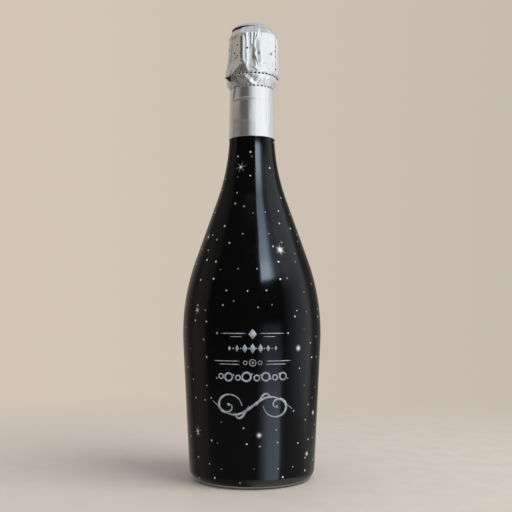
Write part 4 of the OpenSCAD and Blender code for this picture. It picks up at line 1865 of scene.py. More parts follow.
@dataclass
class PullTab:
    """The black tab of the tape's end. It springs off the foil and rises to its free end."""

    form: HoodForm
    length: float = 11.0
    height: float = 3.8
    thickness: float = 0.3
    rise: float = 4.0
    spring: float = 1.1
    bare_share: float = 0.32
    bow: float = 0.06
    ripple: float = 0.12
    taper: float = 0.94
    rows: int = 17
    cols: int = 56

    def sheet(self) -> Array:
        """The middle of the tab as rows from its lower edge up and columns from its root out.

        Returns:
            The place of each point.
        """
        f = self.form
        root_r = f.strip_r + f.foil_gap + f.foil_t + self.thickness
        low = f.strip_high - 1.25 * self.height
        t = np.linspace(0, 1, self.cols)[None]
        up = np.linspace(0, 1, self.rows)[:, None]
        radius = root_r + self.spring * t**2 + self.bow * np.sin(np.pi * up) * t
        turn = np.radians(f.tab_azimuth) - self.length * t / root_r
        tilt = math.radians(self.rise)
        edge = self.ripple * np.sin(t * 9) * (up - 0.5)
        point = ease((t - self.bare_share) / (1 - self.bare_share)) * self.taper
        up = point + (1 - point) * up
        z = low + self.length * t * math.tan(tilt) * 0.96 + self.height / math.cos(tilt) * up + edge
        return np.stack(np.broadcast_arrays(radius * np.cos(turn), radius * np.sin(turn), z), -1)

    def build(self, effects: Effects) -> None:
        """Builds and dresses it, with its long edges rounded a little.

        Args:
            effects: the shared shader effects.
        """
        t, up = np.meshgrid(np.linspace(1, 0, self.cols), np.linspace(0, 1, self.rows))
        grid = Grid(self.sheet()[:, ::-1], around=False, uv=np.stack([t, up], -1))
        piece = thickened(grid.object("tape_tab"), self.thickness - 0.04, 0.0)
        soft = piece.modifiers.new("Edge", "BEVEL")
        soft.width, soft.segments, soft.limit_method = 0.05 * MM, 2, "ANGLE"
        dress(piece, Body.TAB, Slot.TAPE, BlackTape("tab_film", self.bare_share).build(effects), "pull_tab")


@dataclass(frozen=True)
class Fold:
    """A straight fold in the crown's foil, steep on its left and slow on its right.

    Its ends are a bearing in degrees and a height in mm each, and its sizes are in mm.
    """

    start: tuple[float, float]
    end: tuple[float, float]
    height: float
    steep: float = 0.8
    slow: float = 2.6

    def __call__(self, azimuth: Array, z: Array, radius: float) -> Array:
        """How high the fold stands at each place of foil rolled to a radius.

        Going up it, the height rises by the distance to its left over the steep width and
        falls by the distance to its right over the slow width.

        Args:
            azimuth: the azimuth of each place.
            z: its height.
            radius: the radius that the foil is rolled to.

        Returns:
            The height at each place.
        """
        girth = radius * math.pi / 180
        run = np.array([(self.end[0] - self.start[0]) * girth, self.end[1] - self.start[1]])
        length = float(np.linalg.norm(run))
        right, up = run / length
        x = turn_gap(azimuth, FRONT + self.start[0]) * girth
        y = z - self.start[1]
        along_it, off = x * right + y * up, x * up - y * right
        crest = np.clip(np.minimum(1 + off / self.steep, 1 - off / self.slow), 0, 1)
        ends = ease(along_it / 2.0 + 0.5) * ease((length - along_it) / 2.0 + 0.5)
        return 1.3 * self.height * crest * ends


@dataclass
class Crown:
    """The crumpled crown of the capsule over the wire hood, and its smooth top disc."""

    form: HoodForm
    cols: int = 420
    side_rows: int = 62
    shoulder_rows: int = 12
    line_rows: int = 8
    dome_rows: int = 14
    wall: float = 0.12
    slack: float = 1.1
    leg_power: float = 3.0
    tail_power: float = 40.0
    tail_bulge: float = 0.65
    facet_h: float = 0.5
    soft_h: float = 0.18
    flare_h: float = 0.2
    calm_azimuth: float = 213.0
    flap_azimuth: float = 352.0
    flap_h: float = 0.7
    hole_r: float = 0.68
    shift: float = 0.9
    edge_gap: float = 0.03
    disc_drop: float = 2.6
    leg_round: float = 4.4
    gap_round: float = 2.4
    disc_cols: int = 300
    disc_sag: float = 0.2
    wrinkle_count: int = 37
    wrinkle_h: float = 0.25
    tent_angle: float = 27.5
    front_folds: tuple[Fold, ...] = (
        Fold((-12, 273.5), (-14, 299.5), 0.4, 0.55, 1.5), Fold((-2, 288), (-1, 298.5), 0.3, 0.5, 1.4),
        Fold((8, 273), (4.5, 287), 0.36, 0.6, 2.2), Fold((4.5, 286), (8, 300.5), 0.42, 0.6, 1.6),
        Fold((9.5, 291), (17, 300.5), 0.3, 0.6, 1.8), Fold((15, 274), (5.5, 282.5), 0.22, 0.6, 2.2),
        Fold((50, 282.4), (15, 282), 0.3, 0.6, 2.4), Fold((54, 275.6), (16, 276.2), 0.34, 0.6, 2.4),
        Fold((24, 294), (21, 301), 0.16, 0.8, 1.4), Fold((36, 292), (38, 301), 0.14, 1, 1.6),
        Fold((58, 272), (56, 296), 0.42, 0.9, 1.6), Fold((70, 271), (66, 294), 0.4, 0.9, 2),
        Fold((-34, 276), (-30, 292), 0.22, 2.2, 1), Fold((-52, 272), (-47, 297), 0.3, 2.4, 2),
        Fold((-66, 274), (-62, 292), 0.3, 2, 1.6), Fold((30, 288), (28, 297), 0.14, 1.8, 2.6),
        Fold((-24, 275.5), (-47, 269.5), 0.4, 1.4, 1.6), Fold((-9, 270), (-20, 278), 0.4, 0.9, 1.8),
        Fold((14, 270.5), (2, 273), 0.3, 0.7, 1.2), Fold((40, 271), (30, 273.5), 0.3, 0.8, 1.2),
    )
    tight: tuple[float, ...] = (0.8, 0.65, 1.0, 0.4)
    holes: tuple[tuple[float, float], ...] = (
        (-38.0, 288.6), (-49.0, 283.8), (-43.0, 280.2), (-25.0, 289.8), (-11.0, 285.6),
        (-38.5, 281.6), (-27.0, 282.6), (47.0, 282.6), (60.0, 288.5), (57.0, 284.9),
        (60.0, 281.6), (62.0, 276.6), (66.0, 273.9), (118.0, 287.5), (131.0, 283.4),
        (143.0, 288.9), (160.0, 281.7), (171.0, 286.6), (-168.0, 283.0), (-154.0, 289.1),
        (-139.0, 281.3), (-121.0, 286.4), (-104.0, 283.2), (-96.0, 289.0), (-70.0, 287.2),
    )

    @property
    def low(self) -> float:
        """The crown's torn lower edge, which just clears the strip."""
        return self.form.strip_high + self.edge_gap

    @property
    def dome(self) -> tuple[float, float, float]:
        """The dome edge's radius and the place of its centre."""
        f = self.form
        edge_r = f.plaque_edge_r + f.plaque_t + f.foil_gap + f.foil_t
        r = f.plaque_in_r + f.plaque_t + f.foil_gap + f.foil_t
        top = f.head_top + f.wire_gap + f.plaque_t + f.foil_gap + f.foil_t
        return edge_r, r - edge_r, top - edge_r

    @property
    def leg_z(self) -> float:
        """The top of the foil's shoulder over a leg's wires."""
        f = self.form
        return f.over_z + f.frame_d / 2 + 3 * f.foil_gap + f.foil_t

    def section(self, side: Array, high_r: float, top_z: float, round_r: float) -> Array:
        """The section from the torn edge up the side, over the shoulder and across to the dome.

        The straight part touches both rounds, so the cosine of its normal's angle to the line
        between their centres is the difference of their radii over the centres' distance.

        Args:
            side: how far the side is drawn in at each of its rows, from 0 to 1.
            high_r: the radius at the top of the side.
            top_z: the top of the shoulder.
            round_r: the shoulder's radius.

        Returns:
            The radius and height of each row.
        """
        edge_r, cx, cz = self.dome
        t = np.arange(self.side_rows) / self.side_rows
        low_r = self.form.strip_r
        ax, az = high_r - round_r, top_z - round_r
        wall = np.stack([low_r + (high_r - low_r) * side, self.low + (az - self.low) * t], 1)
        far = math.hypot(ax - cx, az - cz)
        angle = math.acos((edge_r - round_r) / far) - math.atan2(cz - az, ax - cx)
        turn = np.linspace(0, angle, self.shoulder_rows)
        shoulder = arc(ax, az, round_r, turn)
        over = arc(cx, cz, edge_r, np.linspace(angle, np.pi / 2, self.dome_rows))
        share = np.linspace(0, 1, self.line_rows + 2)[1:-1, None]
        line = shoulder[-1] + (over[0] - shoulder[-1]) * share
        return np.r_[wall, shoulder, line, over, [[0.6 * cx, cz + edge_r]]]

    def relief(self, azimuth: Array, z: Array) -> Array:
        """What the folds and the finer crumples add to the radius.

        Args:
            azimuth: the azimuth of each column.
            z: the height of each point.

        Returns:
            The change of radius at each point.
        """
        f = self.form
        folds = sum(fold(azimuth, z, f.strip_r) for fold in self.front_folds + self.other_folds())
        large = Facets(42, 6.5, 2.1, f.strip_r)(azimuth, z)
        soft = 1 + Waves(44, 9, 16.0)(azimuth, z)
        loose = 1 - self.held(azimuth)
        rim = ease(1 - (z - self.low) / 1.5)
        crumple = self.facet_h * large + self.soft_h * soft
        return (folds + crumple * (0.3 + 0.7 * loose)) * (1 - rim)

    def other_folds(self) -> tuple[Fold, ...]:
        """Folds like the front ones beside the legs at the sides and back, from a seeded draw.

        Returns:
            The folds.
        """
        f = self.form
        draw = np.random.default_rng(46)
        found = []
        for leg in range(f.legs):
            bearing = f.leg_azimuth - FRONT + 360 / f.legs * leg
            for off in np.linspace(-26, 34, 9):
                if abs(turn_gap(bearing + off, 6.0)) < 76:
                    continue
                draws = draw.uniform((270, 284, -5, 0.2, 1.2), (281, 298, 5, 0.55, 2.8))
                low, high, lean, height, slow = draws
                start = (bearing + off + 3 * lean / 5, low)
                found.append(Fold(start, (bearing + off - lean, high), height, 0.9, slow))
        for bearing in np.arange(-180, 180, 11.0):
            gap, low, rise, lean, height = draw.uniform((-5, 272, 1.5, -18, 0.08), (5, 294, 5, 18, 0.2))
            start = (bearing + gap, low)
            found.append(Fold(start, (bearing + gap + lean, low + rise), height, 0.5, 1.4))
        return tuple(found)

    def held(self, azimuth: Array) -> Array:
        """How tightly the foil is drawn over the nearest leg, from 0 to 1.

        Args:
            azimuth: the azimuth of each column, in degrees.

        Returns:
            How tightly it is held at each azimuth.
        """
        f = self.form
        girth = f.strip_r * math.pi / 180
        legs = [f.leg_azimuth + 360 / f.legs * leg for leg in range(f.legs)]
        return sum(
            share * ease((15.0 - np.abs(turn_gap(azimuth, leg)) * girth) / 9.0)
            for share, leg in zip(self.tight, legs)
        )

    def points(self) -> tuple[Array, Array]:
        """The crown's points, and which of its faces are kept round the small holes.

        Returns:
            The place of each point, and whether each face is kept.
        """
        f = self.form
        azimuth = azimuths(self.cols)
        t = np.arange(self.side_rows) / self.side_rows
        drawn = ease(np.clip((t - 0.25) / 0.75, 0, 1))
        neck_r = f.seat_r + self.slack
        between_z = f.ledge_z + f.foil_gap + f.foil_t
        over_r = f.leg_r + f.pair_r + f.frame_d / 2 + f.foil_gap + f.foil_t
        low = self.section(drawn, neck_r, between_z, self.gap_round)[:, None]
        high = self.section(drawn, over_r, self.leg_z, self.leg_round)[:, None]
        share = ((1 + np.cos(np.radians(f.legs * (azimuth - f.leg_azimuth)))) / 2) ** self.leg_power
        place = low + (high - low) * share[..., None]
        radius, z = place[..., 0], place[..., 1]
        row = np.arange(len(radius))[:, None]
        up = np.clip(row / self.side_rows, 0, 1)
        on_side = ease((f.head_top - 1.6 - z) / 2.5)
        relief = self.relief(azimuth, z) * on_side
        tail = ((1 + np.cos(np.radians(azimuth - f.tail_azimuth))) / 2) ** self.tail_power
        bulge = self.tail_bulge * tail * ease(1.6 - 1.5 * up) * on_side
        uneven = 0.6 + 0.4 * Waves(45, 13, 40.0)(azimuth, z * 0)
        flare = self.flare_h * hump(z - self.low - 1.6, 1.5) * uneven
        flare = flare * (1 - 0.7 * hump(turn_gap(azimuth, self.calm_azimuth), 28.0))
        flap = self.flap_h * hump(z - self.low - 2.0, 1.7)
        flare = flare + flap * hump(turn_gap(azimuth, self.flap_azimuth), 16.0)
        lean = self.shift * np.cos(np.radians(azimuth)) * ease(1.4 * up)
        taut = self.taut(azimuth)
        held = self.held(azimuth) * ease((up - 0.1) / 0.3) * ease((self.side_rows + 2 - row) / 10)
        radius = radius + (taut - radius) * held + relief + bulge + flare + lean
        radius = np.where(row < self.side_rows, np.maximum(radius, taut), radius)
        z = z + ease(1 - (z - self.low) / 1.4) * notched(azimuth, f.strip_r, f)
        turn = np.radians(azimuth)
        points = np.stack([radius * np.cos(turn), radius * np.sin(turn), z], -1)
        keep = np.ones((len(points) - 1, self.cols), bool)
        for bearing, height in self.holes:
            self.punch(points, keep, FRONT + bearing, height)
        return points, keep

    def taut(self, azimuth: Array) -> Array:
        """The least radius of foil drawn tight from one leg to the next round the cork's head.

        Near a leg the foil is a straight line, whose radius is the head's over the cosine of
        the angle left to where the line touches the head.

        Args:
            azimuth: the azimuth of each column, in degrees.

        Returns:
            The radius at each azimuth.
        """
        f = self.form
        left = np.clip(self.tent_angle - np.clip(f.from_leg(azimuth) - 3.0, 0, None), 0, None)
        return (f.seat_r + 0.2) / np.cos(np.radians(left)) + self.wall

    def punch(self, points: Array, keep: Array, azimuth: float, height: float) -> None:
        """Makes a round hole: a block of faces is drawn out to a circle and its inside left out.

        Args:
            points: the crown's points, which are changed.
            keep: which faces are kept, which is changed.
            azimuth: the hole's azimuth.
            height: its height.
        """
        j = round(azimuth / 360 * self.cols) % self.cols
        i = int(np.argmin(np.abs(points[: self.side_rows, j, 2] - height)))
        centre = points[i, j].copy()
        along_z = points[i + 1, j] - points[i - 1, j]
        along_z /= np.linalg.norm(along_z)
        around = points[i, (j + 1) % self.cols] - points[i, j - 1]
        around /= np.linalg.norm(around)
        dj = np.array((-2, -1, 0, 1, 2, 2, 2, 1, 0, -1, -2, -2))
        di = np.array((-1, -1, -1, -1, -1, 0, 1, 1, 1, 1, 1, 0))
        angle = np.arctan2(di * 1.7, dj)
        circle = np.cos(angle)[:, None] * around + np.sin(angle)[:, None] * along_z
        points[i + di, (j + dj) % self.cols] = centre + self.hole_r * circle
        keep[i - 1 : i + 1, np.arange(j - 2, j + 2) % self.cols] = False

    def disc(self) -> Piece:
        """The round disc over the dome, with faint wrinkles that run in from its edge.

        Returns:
            The piece, not yet dressed.
        """
        f = self.form
        edge_r, cx, cz = self.dome
        e = f.skin_gap + f.foil_t / 2
        low = self.leg_z + self.disc_drop
        turn = np.linspace(math.asin(max(0.0, low - cz) / (edge_r + e)), np.pi / 2, 34)
        flat = np.stack([np.linspace(cx, 0.25, 16)[1:], np.full(15, cz + edge_r + e)], 1)
        outline = np.r_[arc(cx, cz, edge_r + e, turn), flat]
        azimuth = azimuths(self.disc_cols)
        share = np.clip(outline[:, 0] / outline[0, 0], 0, 1)[:, None]
        folded = azimuth / 360 * self.wrinkle_count + 0.8 * Waves(51, 21, 40.0)(azimuth, share * 0)
        wrinkles = self.wrinkle_h * (tent(folded) - 0.5)
        soft = Waves(52, 9, 0.3)(azimuth, share)
        points = turned(outline, self.disc_cols, wrinkles * ease((share - 0.6) / 0.4))
        points[..., 2] -= self.disc_sag * (1 + soft) * ease(share / 0.3) * (1 - share**6)
        points[..., :2] *= 1 + 0.02 * ease((share[..., None] - 0.93) / 0.07)
        return thickened(Grid(points, pole=Pole.LAST).object("capsule_disc"), 0.1)

    def build(self, effects: Effects) -> None:
        """Builds and dresses both.

        Args:
            effects: the shared shader effects.
        """
        points, keep = self.points()
        crown = thickened(Grid(points, keep=keep).object("capsule_crown_foil", 55.0), self.wall)
        dress(crown, Body.CROWN, Slot.FOIL, Foil("crown_foil", roughness=0.09).build(effects), "foil_crown")
        top = Foil("disc_foil", colour=(0.84, 0.86, 0.89), roughness=0.16)
        dress(self.disc(), Body.CROWN, Slot.FOIL, top.build(effects), "foil_top_disc")


# The wire hood


def spot(azimuth: Array, radius: Array, z: Array, side: Array = 0.0) -> Array:
    """Points from an azimuth, a radius, a height and a sideways step at right angles to it.

    Args:
        azimuth: the azimuths in degrees.
        radius: the radii.
        z: the heights.
        side: the steps sideways, counter-clockwise.

    Returns:
        The place of each point.
    """
    a = np.radians(azimuth)
    parts = (radius * np.cos(a) - side * np.sin(a), radius * np.sin(a) + side * np.cos(a), z)
    return np.stack(np.broadcast_arrays(*[np.asarray(p, float) for p in parts]), -1)


def hermite(p: Array, m: Array, q: Array, n: Array, count: int) -> Array:
    """The cubic curve from p with slope m to q with slope n, without its last point.

    Args:
        p: where the curve starts.
        m: its slope there.
        q: where it ends.
        n: its slope there.
        count: how many points to give.

    Returns:
        The points.
    """
    t = (np.arange(count) / count)[:, None]
    u = 1 - t
    return p * (1 + 2 * t) * u * u + m * t * u * u + q * t * t * (3 - 2 * t) - n * t * t * u


@dataclass
class WireHood:
    """The wire cage: four twisted legs hooked on a belt, the belt's twisted tail, and the plaque.

    tail_rise and belt_open count the belt wire's diameters.
    """

    form: HoodForm
    per_turn: int = 22
    leave_step: float = 1.7
    frame_sides: int = 12
    belt_sides: int = 14
    shoulder_round: float = 2.2
    plaque_cols: int = 288
    plaque_rings: tuple[tuple[float, float], ...] = ((5.4, 0.35), (3.0, 0.3))
    ring_depth: float = 0.1
    tail_rise: float = 1.8
    belt_open: float = 2.2

    @property
    def top_r(self) -> float:
        """The radius of the ring round the cork's head."""
        return self.form.head_r - self.form.ledge_w + self.form.wire_gap + self.form.frame_d / 2

    @property
    def top_z(self) -> float:
        """The height of that ring."""
        return self.form.ledge_z + self.form.wire_gap + self.form.frame_d / 2

    @property
    def leave(self) -> float:
        """How many degrees from a leg its wires leave the ring."""
        return math.degrees(math.asin(self.leave_step / self.top_r))

    @property
    def twist(self) -> tuple[float, float]:
        """The lowest and highest points of a leg's twist."""
        return self.form.ring_z + self.form.frame_d, self.form.ledge_z - 1.3 * self.shoulder_round

    def strand(self, azimuth: float, phase: float, share: Array) -> Array:
        """One wire of a leg, wound round the leg's middle as it goes up.

        Args:
            azimuth: the leg's azimuth.
            phase: where round the leg's middle the wire starts, in degrees.
            share: how far up the twist each point is, from 0 to 1.

        Returns:
            The place of each point.
        """
        f = self.form
        turn = np.radians(phase + (360 * f.leg_turns + 90) * share)
        low, high = self.twist
        out, side = f.pair_r * np.cos(turn), f.pair_r * np.sin(turn)
        return spot(azimuth, f.leg_r + out, low + (high - low) * share, side)

    def leg_start(self, azimuth: float, side: int) -> Array:
        """The way from the ring over the cork's shoulder to the top of the twist.

        Args:
            azimuth: the leg's azimuth.
            side: -1 or 1, for the side that the wire comes from.

        Returns:
            The place of each point.
        """
        f, step = self.form, self.leave_step
        low, high = self.twist
        slope = (high - low) / f.leg_turns / 2
        at_ring = azimuth + side * self.leave
        over_r = f.head_r - f.frame_d / 4
        off = spot(at_ring, self.top_r, self.top_z)
        over = spot(azimuth, over_r, f.over_z, side * 1.2 * f.pair_r)
        over_slope = spot(azimuth, 1.2 * step, -0.6 * step, -side * 0.1 * step)
        first = hermite(off, spot(at_ring, 0, 0, -side * 1.6 * step), over, over_slope, 14)
        top = spot(azimuth, f.leg_r, high, side * f.pair_r)
        return np.r_[first, hermite(over, over_slope, top, spot(azimuth, 0, -slope), 14)]

    def eye(self, azimuth: float) -> Array:
        """The loop round the belt, from the inner strand's end to the outer strand's end.

        Args:
            azimuth: the leg's azimuth.

        Returns:
            The place of each point.
        """
        f = self.form

        def around(turn: Array) -> Array:
            """Points of the loop."""
            a = np.radians(turn)
            return spot(azimuth, f.belt_r + f.eye_r * np.cos(a), f.belt_z + f.eye_r * np.sin(a))

        def slope(turn: float, size: float) -> Array:
            """The way that the loop runs at a turn, as long as size."""
            a = math.radians(turn)
            return spot(azimuth, -size * math.sin(a), size * math.cos(a))

        down = spot(azimuth, 0, -1.5 * f.eye_r)
        inner, outer = self.strand(azimuth, 180, np.array(0.0)), self.strand(azimuth, 0, np.array(0.0))
        first, last = 115.0, 385.0
        turns = first + (last - first) * np.arange(20) / 20
        return np.concatenate([
            hermite(inner, down, around(first), slope(first, 1.2 * f.eye_r), 8),
            around(turns),
            hermite(around(last), slope(last, f.eye_r), outer, -down, 6),
        ])

    def frame_path(self) -> Array:
        """The frame wire, which is one closed path down and up each leg and round the ring.

        Returns:
            The place of each station, without the first one repeated.
        """
        f = self.form
        share = np.arange(1, self.per_turn * f.leg_turns + 1) / (self.per_turn * f.leg_turns)
        parts = []
        for k in range(f.legs):
            a = f.leg_azimuth + 360 * k / f.legs
            ring = np.linspace(a + self.leave, a + 360 / f.legs - self.leave, 40)[:-1]
            parts += [
                self.leg_start(a, -1), self.strand(a, 180, share[::-1]), self.eye(a),
                self.strand(a, 0, np.r_[0, share]), self.leg_start(a, 1)[::-1],
                spot(ring[1:], self.top_r, self.top_z),
            ]
        return np.concatenate(parts)

    def belt_path(self) -> Array:
        """The belt wire: round the neck, up the twisted tail and round the loop at its end.

        Returns:
            The place of each station, without the first one repeated.
        """
        f = self.form
        a, d = f.tail_azimuth, f.belt_d
        pair_r = d / 2 + f.wire_gap / 2
        tail_r = f.seat_r + f.seat_gap + pair_r + d / 2
        low = f.belt_z + self.tail_rise * d
        high = low + f.tail_h
        loop_r = f.seat_r + f.seat_gap + d / 2
        gap = math.degrees(math.asin(self.belt_open * d / f.belt_r))

        def twisted(phase: float, share: Array) -> Array:
            """One wire of the tail.

            Args:
                phase: where round the tail's middle it starts, in degrees.
                share: how far up the tail each point is, from 0 to 1.

            Returns:
                The place of each point.
            """
            turn = np.radians(phase + 360 * f.tail_turns * share)
            out, side = pair_r * np.sin(turn), pair_r * np.cos(turn)
            return spot(a, tail_r + out, low + (high - low) * share, side)

        start, end = spot(a + gap, f.belt_r, f.belt_z), spot(a - gap, f.belt_r, f.belt_z)
        up, rise = spot(a, 0, 2 * d), spot(a, 0, 0.8 * f.loop_h)
        across = spot(a, 0, 0, -1.1 * f.loop_w)
        top = spot(a, loop_r, high + f.loop_h)
        right = spot(a, loop_r, high + 0.55 * f.loop_h, (f.loop_w - d) / 2)
        left = spot(a, loop_r, high + 0.55 * f.loop_h, -(f.loop_w - d) / 2)
        count = self.per_turn * f.tail_turns
        share = np.arange(count) / count
        zero, one = np.array(0.0), np.array(1.0)
        return np.concatenate([
            spot(np.linspace(a + gap, a + 360 - gap, 241)[:-1], f.belt_r, f.belt_z),
            hermite(end, spot(a - gap, 0, 0, 3 * d), twisted(180, zero), up, 12),
            twisted(180, share),
            hermite(twisted(180, one), rise / 2, left, rise, 14),
            hermite(left, rise, top, -across, 14), hermite(top, -across, right, -rise, 14),
            hermite(right, -rise, twisted(0, one), -rise / 2, 14),
            twisted(0, 1 - share),
            hermite(twisted(0, zero), -up, start, spot(a + gap, 0, 0, 3 * d), 12),
        ])

    def plaque(self) -> Piece:
        """The pressed cap on the cork, with plain rings and a notch for each leg in its rim.

        Returns:
            The piece, not yet dressed.
        """
        f = self.form
        inner_top = f.head_top + f.wire_gap
        edge = f.plaque_edge_r + f.plaque_t
        r, top = f.plaque_in_r + f.plaque_t, inner_top + f.plaque_t
        low = f.ledge_z + 2 * f.wire_gap
        turn = np.linspace(0, np.pi / 2, 26)
        start = max(low, top - edge)
        shoulder = arc(r - edge, top - edge, edge, turn)
        shoulder = shoulder[shoulder[:, 1] > start]
        rim = np.stack([np.full(4, r), np.linspace(low, start, 5)[:-1]], 1)
        flat = np.stack([np.linspace(r - edge, 0.2, 30)[1:], np.full(29, top)], 1)
        outline = np.r_[rim, shoulder, flat]
        azimuth = azimuths(self.plaque_cols)
        points = turned(outline, self.plaque_cols)
        radius = outline[:, 0][:, None]
        rings = sum(hump(radius - middle, width) for middle, width in self.plaque_rings)
        points[..., 2] -= self.ring_depth * rings
        off = f.from_leg(azimuth) * math.pi / 180 * r
        notch_w, notch_h = 2 * (self.leave_step + f.frame_d), f.frame_d + f.wire_gap
        cut = notch_h * ease((notch_w / 2 - off) / 0.35)
        points[..., 2] += cut * ease(1 - (points[..., 2] - low) / 3.0)
        return thickened(Grid(points, pole=Pole.LAST).object("hood_cap"), f.plaque_t)

    def build(self, effects: Effects) -> None:
        """Builds and dresses the two wires and the plaque.

        Args:
            effects: the shared shader effects.
        """
        frame_wire = tube(self.frame_path(), self.form.frame_d, self.frame_sides)
        belt_wire = tube(self.belt_path(), self.form.belt_d, self.belt_sides)
        for name, wall, steel, node in (
            ("hood_frame", frame_wire, Steel("tinned_wire"), "hood_frame_wire"),
            ("hood_belt", belt_wire, Steel("belt_steel", roughness=0.34), "hood_belt_wire"),
        ):
            dress(Grid(wall, loop=True).object(name), Body.HOOD, Slot.WIRE, steel.build(effects), node)
        plate = Steel("plaque_plate", colour=(0.72, 0.72, 0.71), roughness=0.22).build(effects)
        dress(self.plaque(), Body.HOOD, Slot.PLAQUE, plate, "hood_plaque")


# The cork


@dataclass
class Cork:
    """The mushroom cork: a pressed head and stem, and two discs of natural cork."""

    form: HoodForm
    gap: float = 0.05
    stem_len: float = 24.0
    disc_t: float = 5.6
    chamfer: float = 0.6
    head_round: float = 3.4
    ledge_round: float = 2.2
    cols: int = 144

    @property
    def stem_r(self) -> float:
        """The radius of the stem in the bore."""
        return self.form.glass.bore_r - self.gap

    @property
    def low(self) -> float:
        """The cork's lower end."""
        return self.form.glass.glass_h - self.stem_len

    def closed(self, outline: Array, name: str) -> Piece:
        """Turns an outline that runs out from the axis, up and back to it."""
        return Grid(turned(filled(outline, 1.6)[1:-1], self.cols), pole=Pole.BOTH).object(name)

    def body(self) -> Piece:
        """The stem and the head, with the ledge that the wire presses into it.

        Returns:
            The piece, not yet dressed.
        """
        f, mouth = self.form, self.form.glass.glass_h
        neck_r, start = f.head_r - f.ledge_w, self.low + 2 * self.disc_t
        outline = rounded([
            (0, start, 0), (self.stem_r, start, 0), (self.stem_r, mouth, 0),
            (f.head_r, mouth, self.head_round), (f.head_r, f.ledge_z, self.ledge_round),
            (neck_r, f.ledge_z, 0), (neck_r, f.head_top, self.head_round), (0, f.head_top, 0),
        ], 9.0)
        return self.closed(outline, "cork_agglomerate")

    def disc(self, low: float, chamfer: float, name: str) -> Piece:
        """One disc, with its lower edge cut back where it has a chamfer.

        Args:
            low: its lower end.
            chamfer: how far its lower edge is cut back.
            name: the piece's name.

        Returns:
            The piece, not yet dressed.
        """
        r, high = self.stem_r, low + self.disc_t
        outline = [(0, low), (r - chamfer, low), (r, low + chamfer), (r, high), (0, high)]
        if not chamfer:
            outline = [(0, low), (r, low), (r, high), (0, high)]
        return self.closed(np.array(outline, float), name)

    def build(self, effects: Effects) -> None:
        """Builds and dresses the three pieces.

        Args:
            effects: the shared shader effects.
        """
        pressed = CorkGrain("pressed_cork").build(effects)
        grain = CorkGrain("natural_cork", pale=(0.55, 0.35, 0.18), granule=5.5, layers=3.2)
        natural = grain.build(effects)
        dress(self.body(), Body.CORK, Slot.CORK, pressed, "cork_body")
        upper = self.disc(self.low + self.disc_t, 0.0, "cork_natural_upper")
        dress(upper, Body.CORK, Slot.CORK_DISC, natural, "cork_disc_upper")
        lower = self.disc(self.low, self.chamfer, "cork_natural_lower")
        dress(lower, Body.CORK, Slot.CORK_DISC, natural, "cork_disc_lower")


# The studio


Light = Callable[[Nodes, Socket, Socket], Socket]


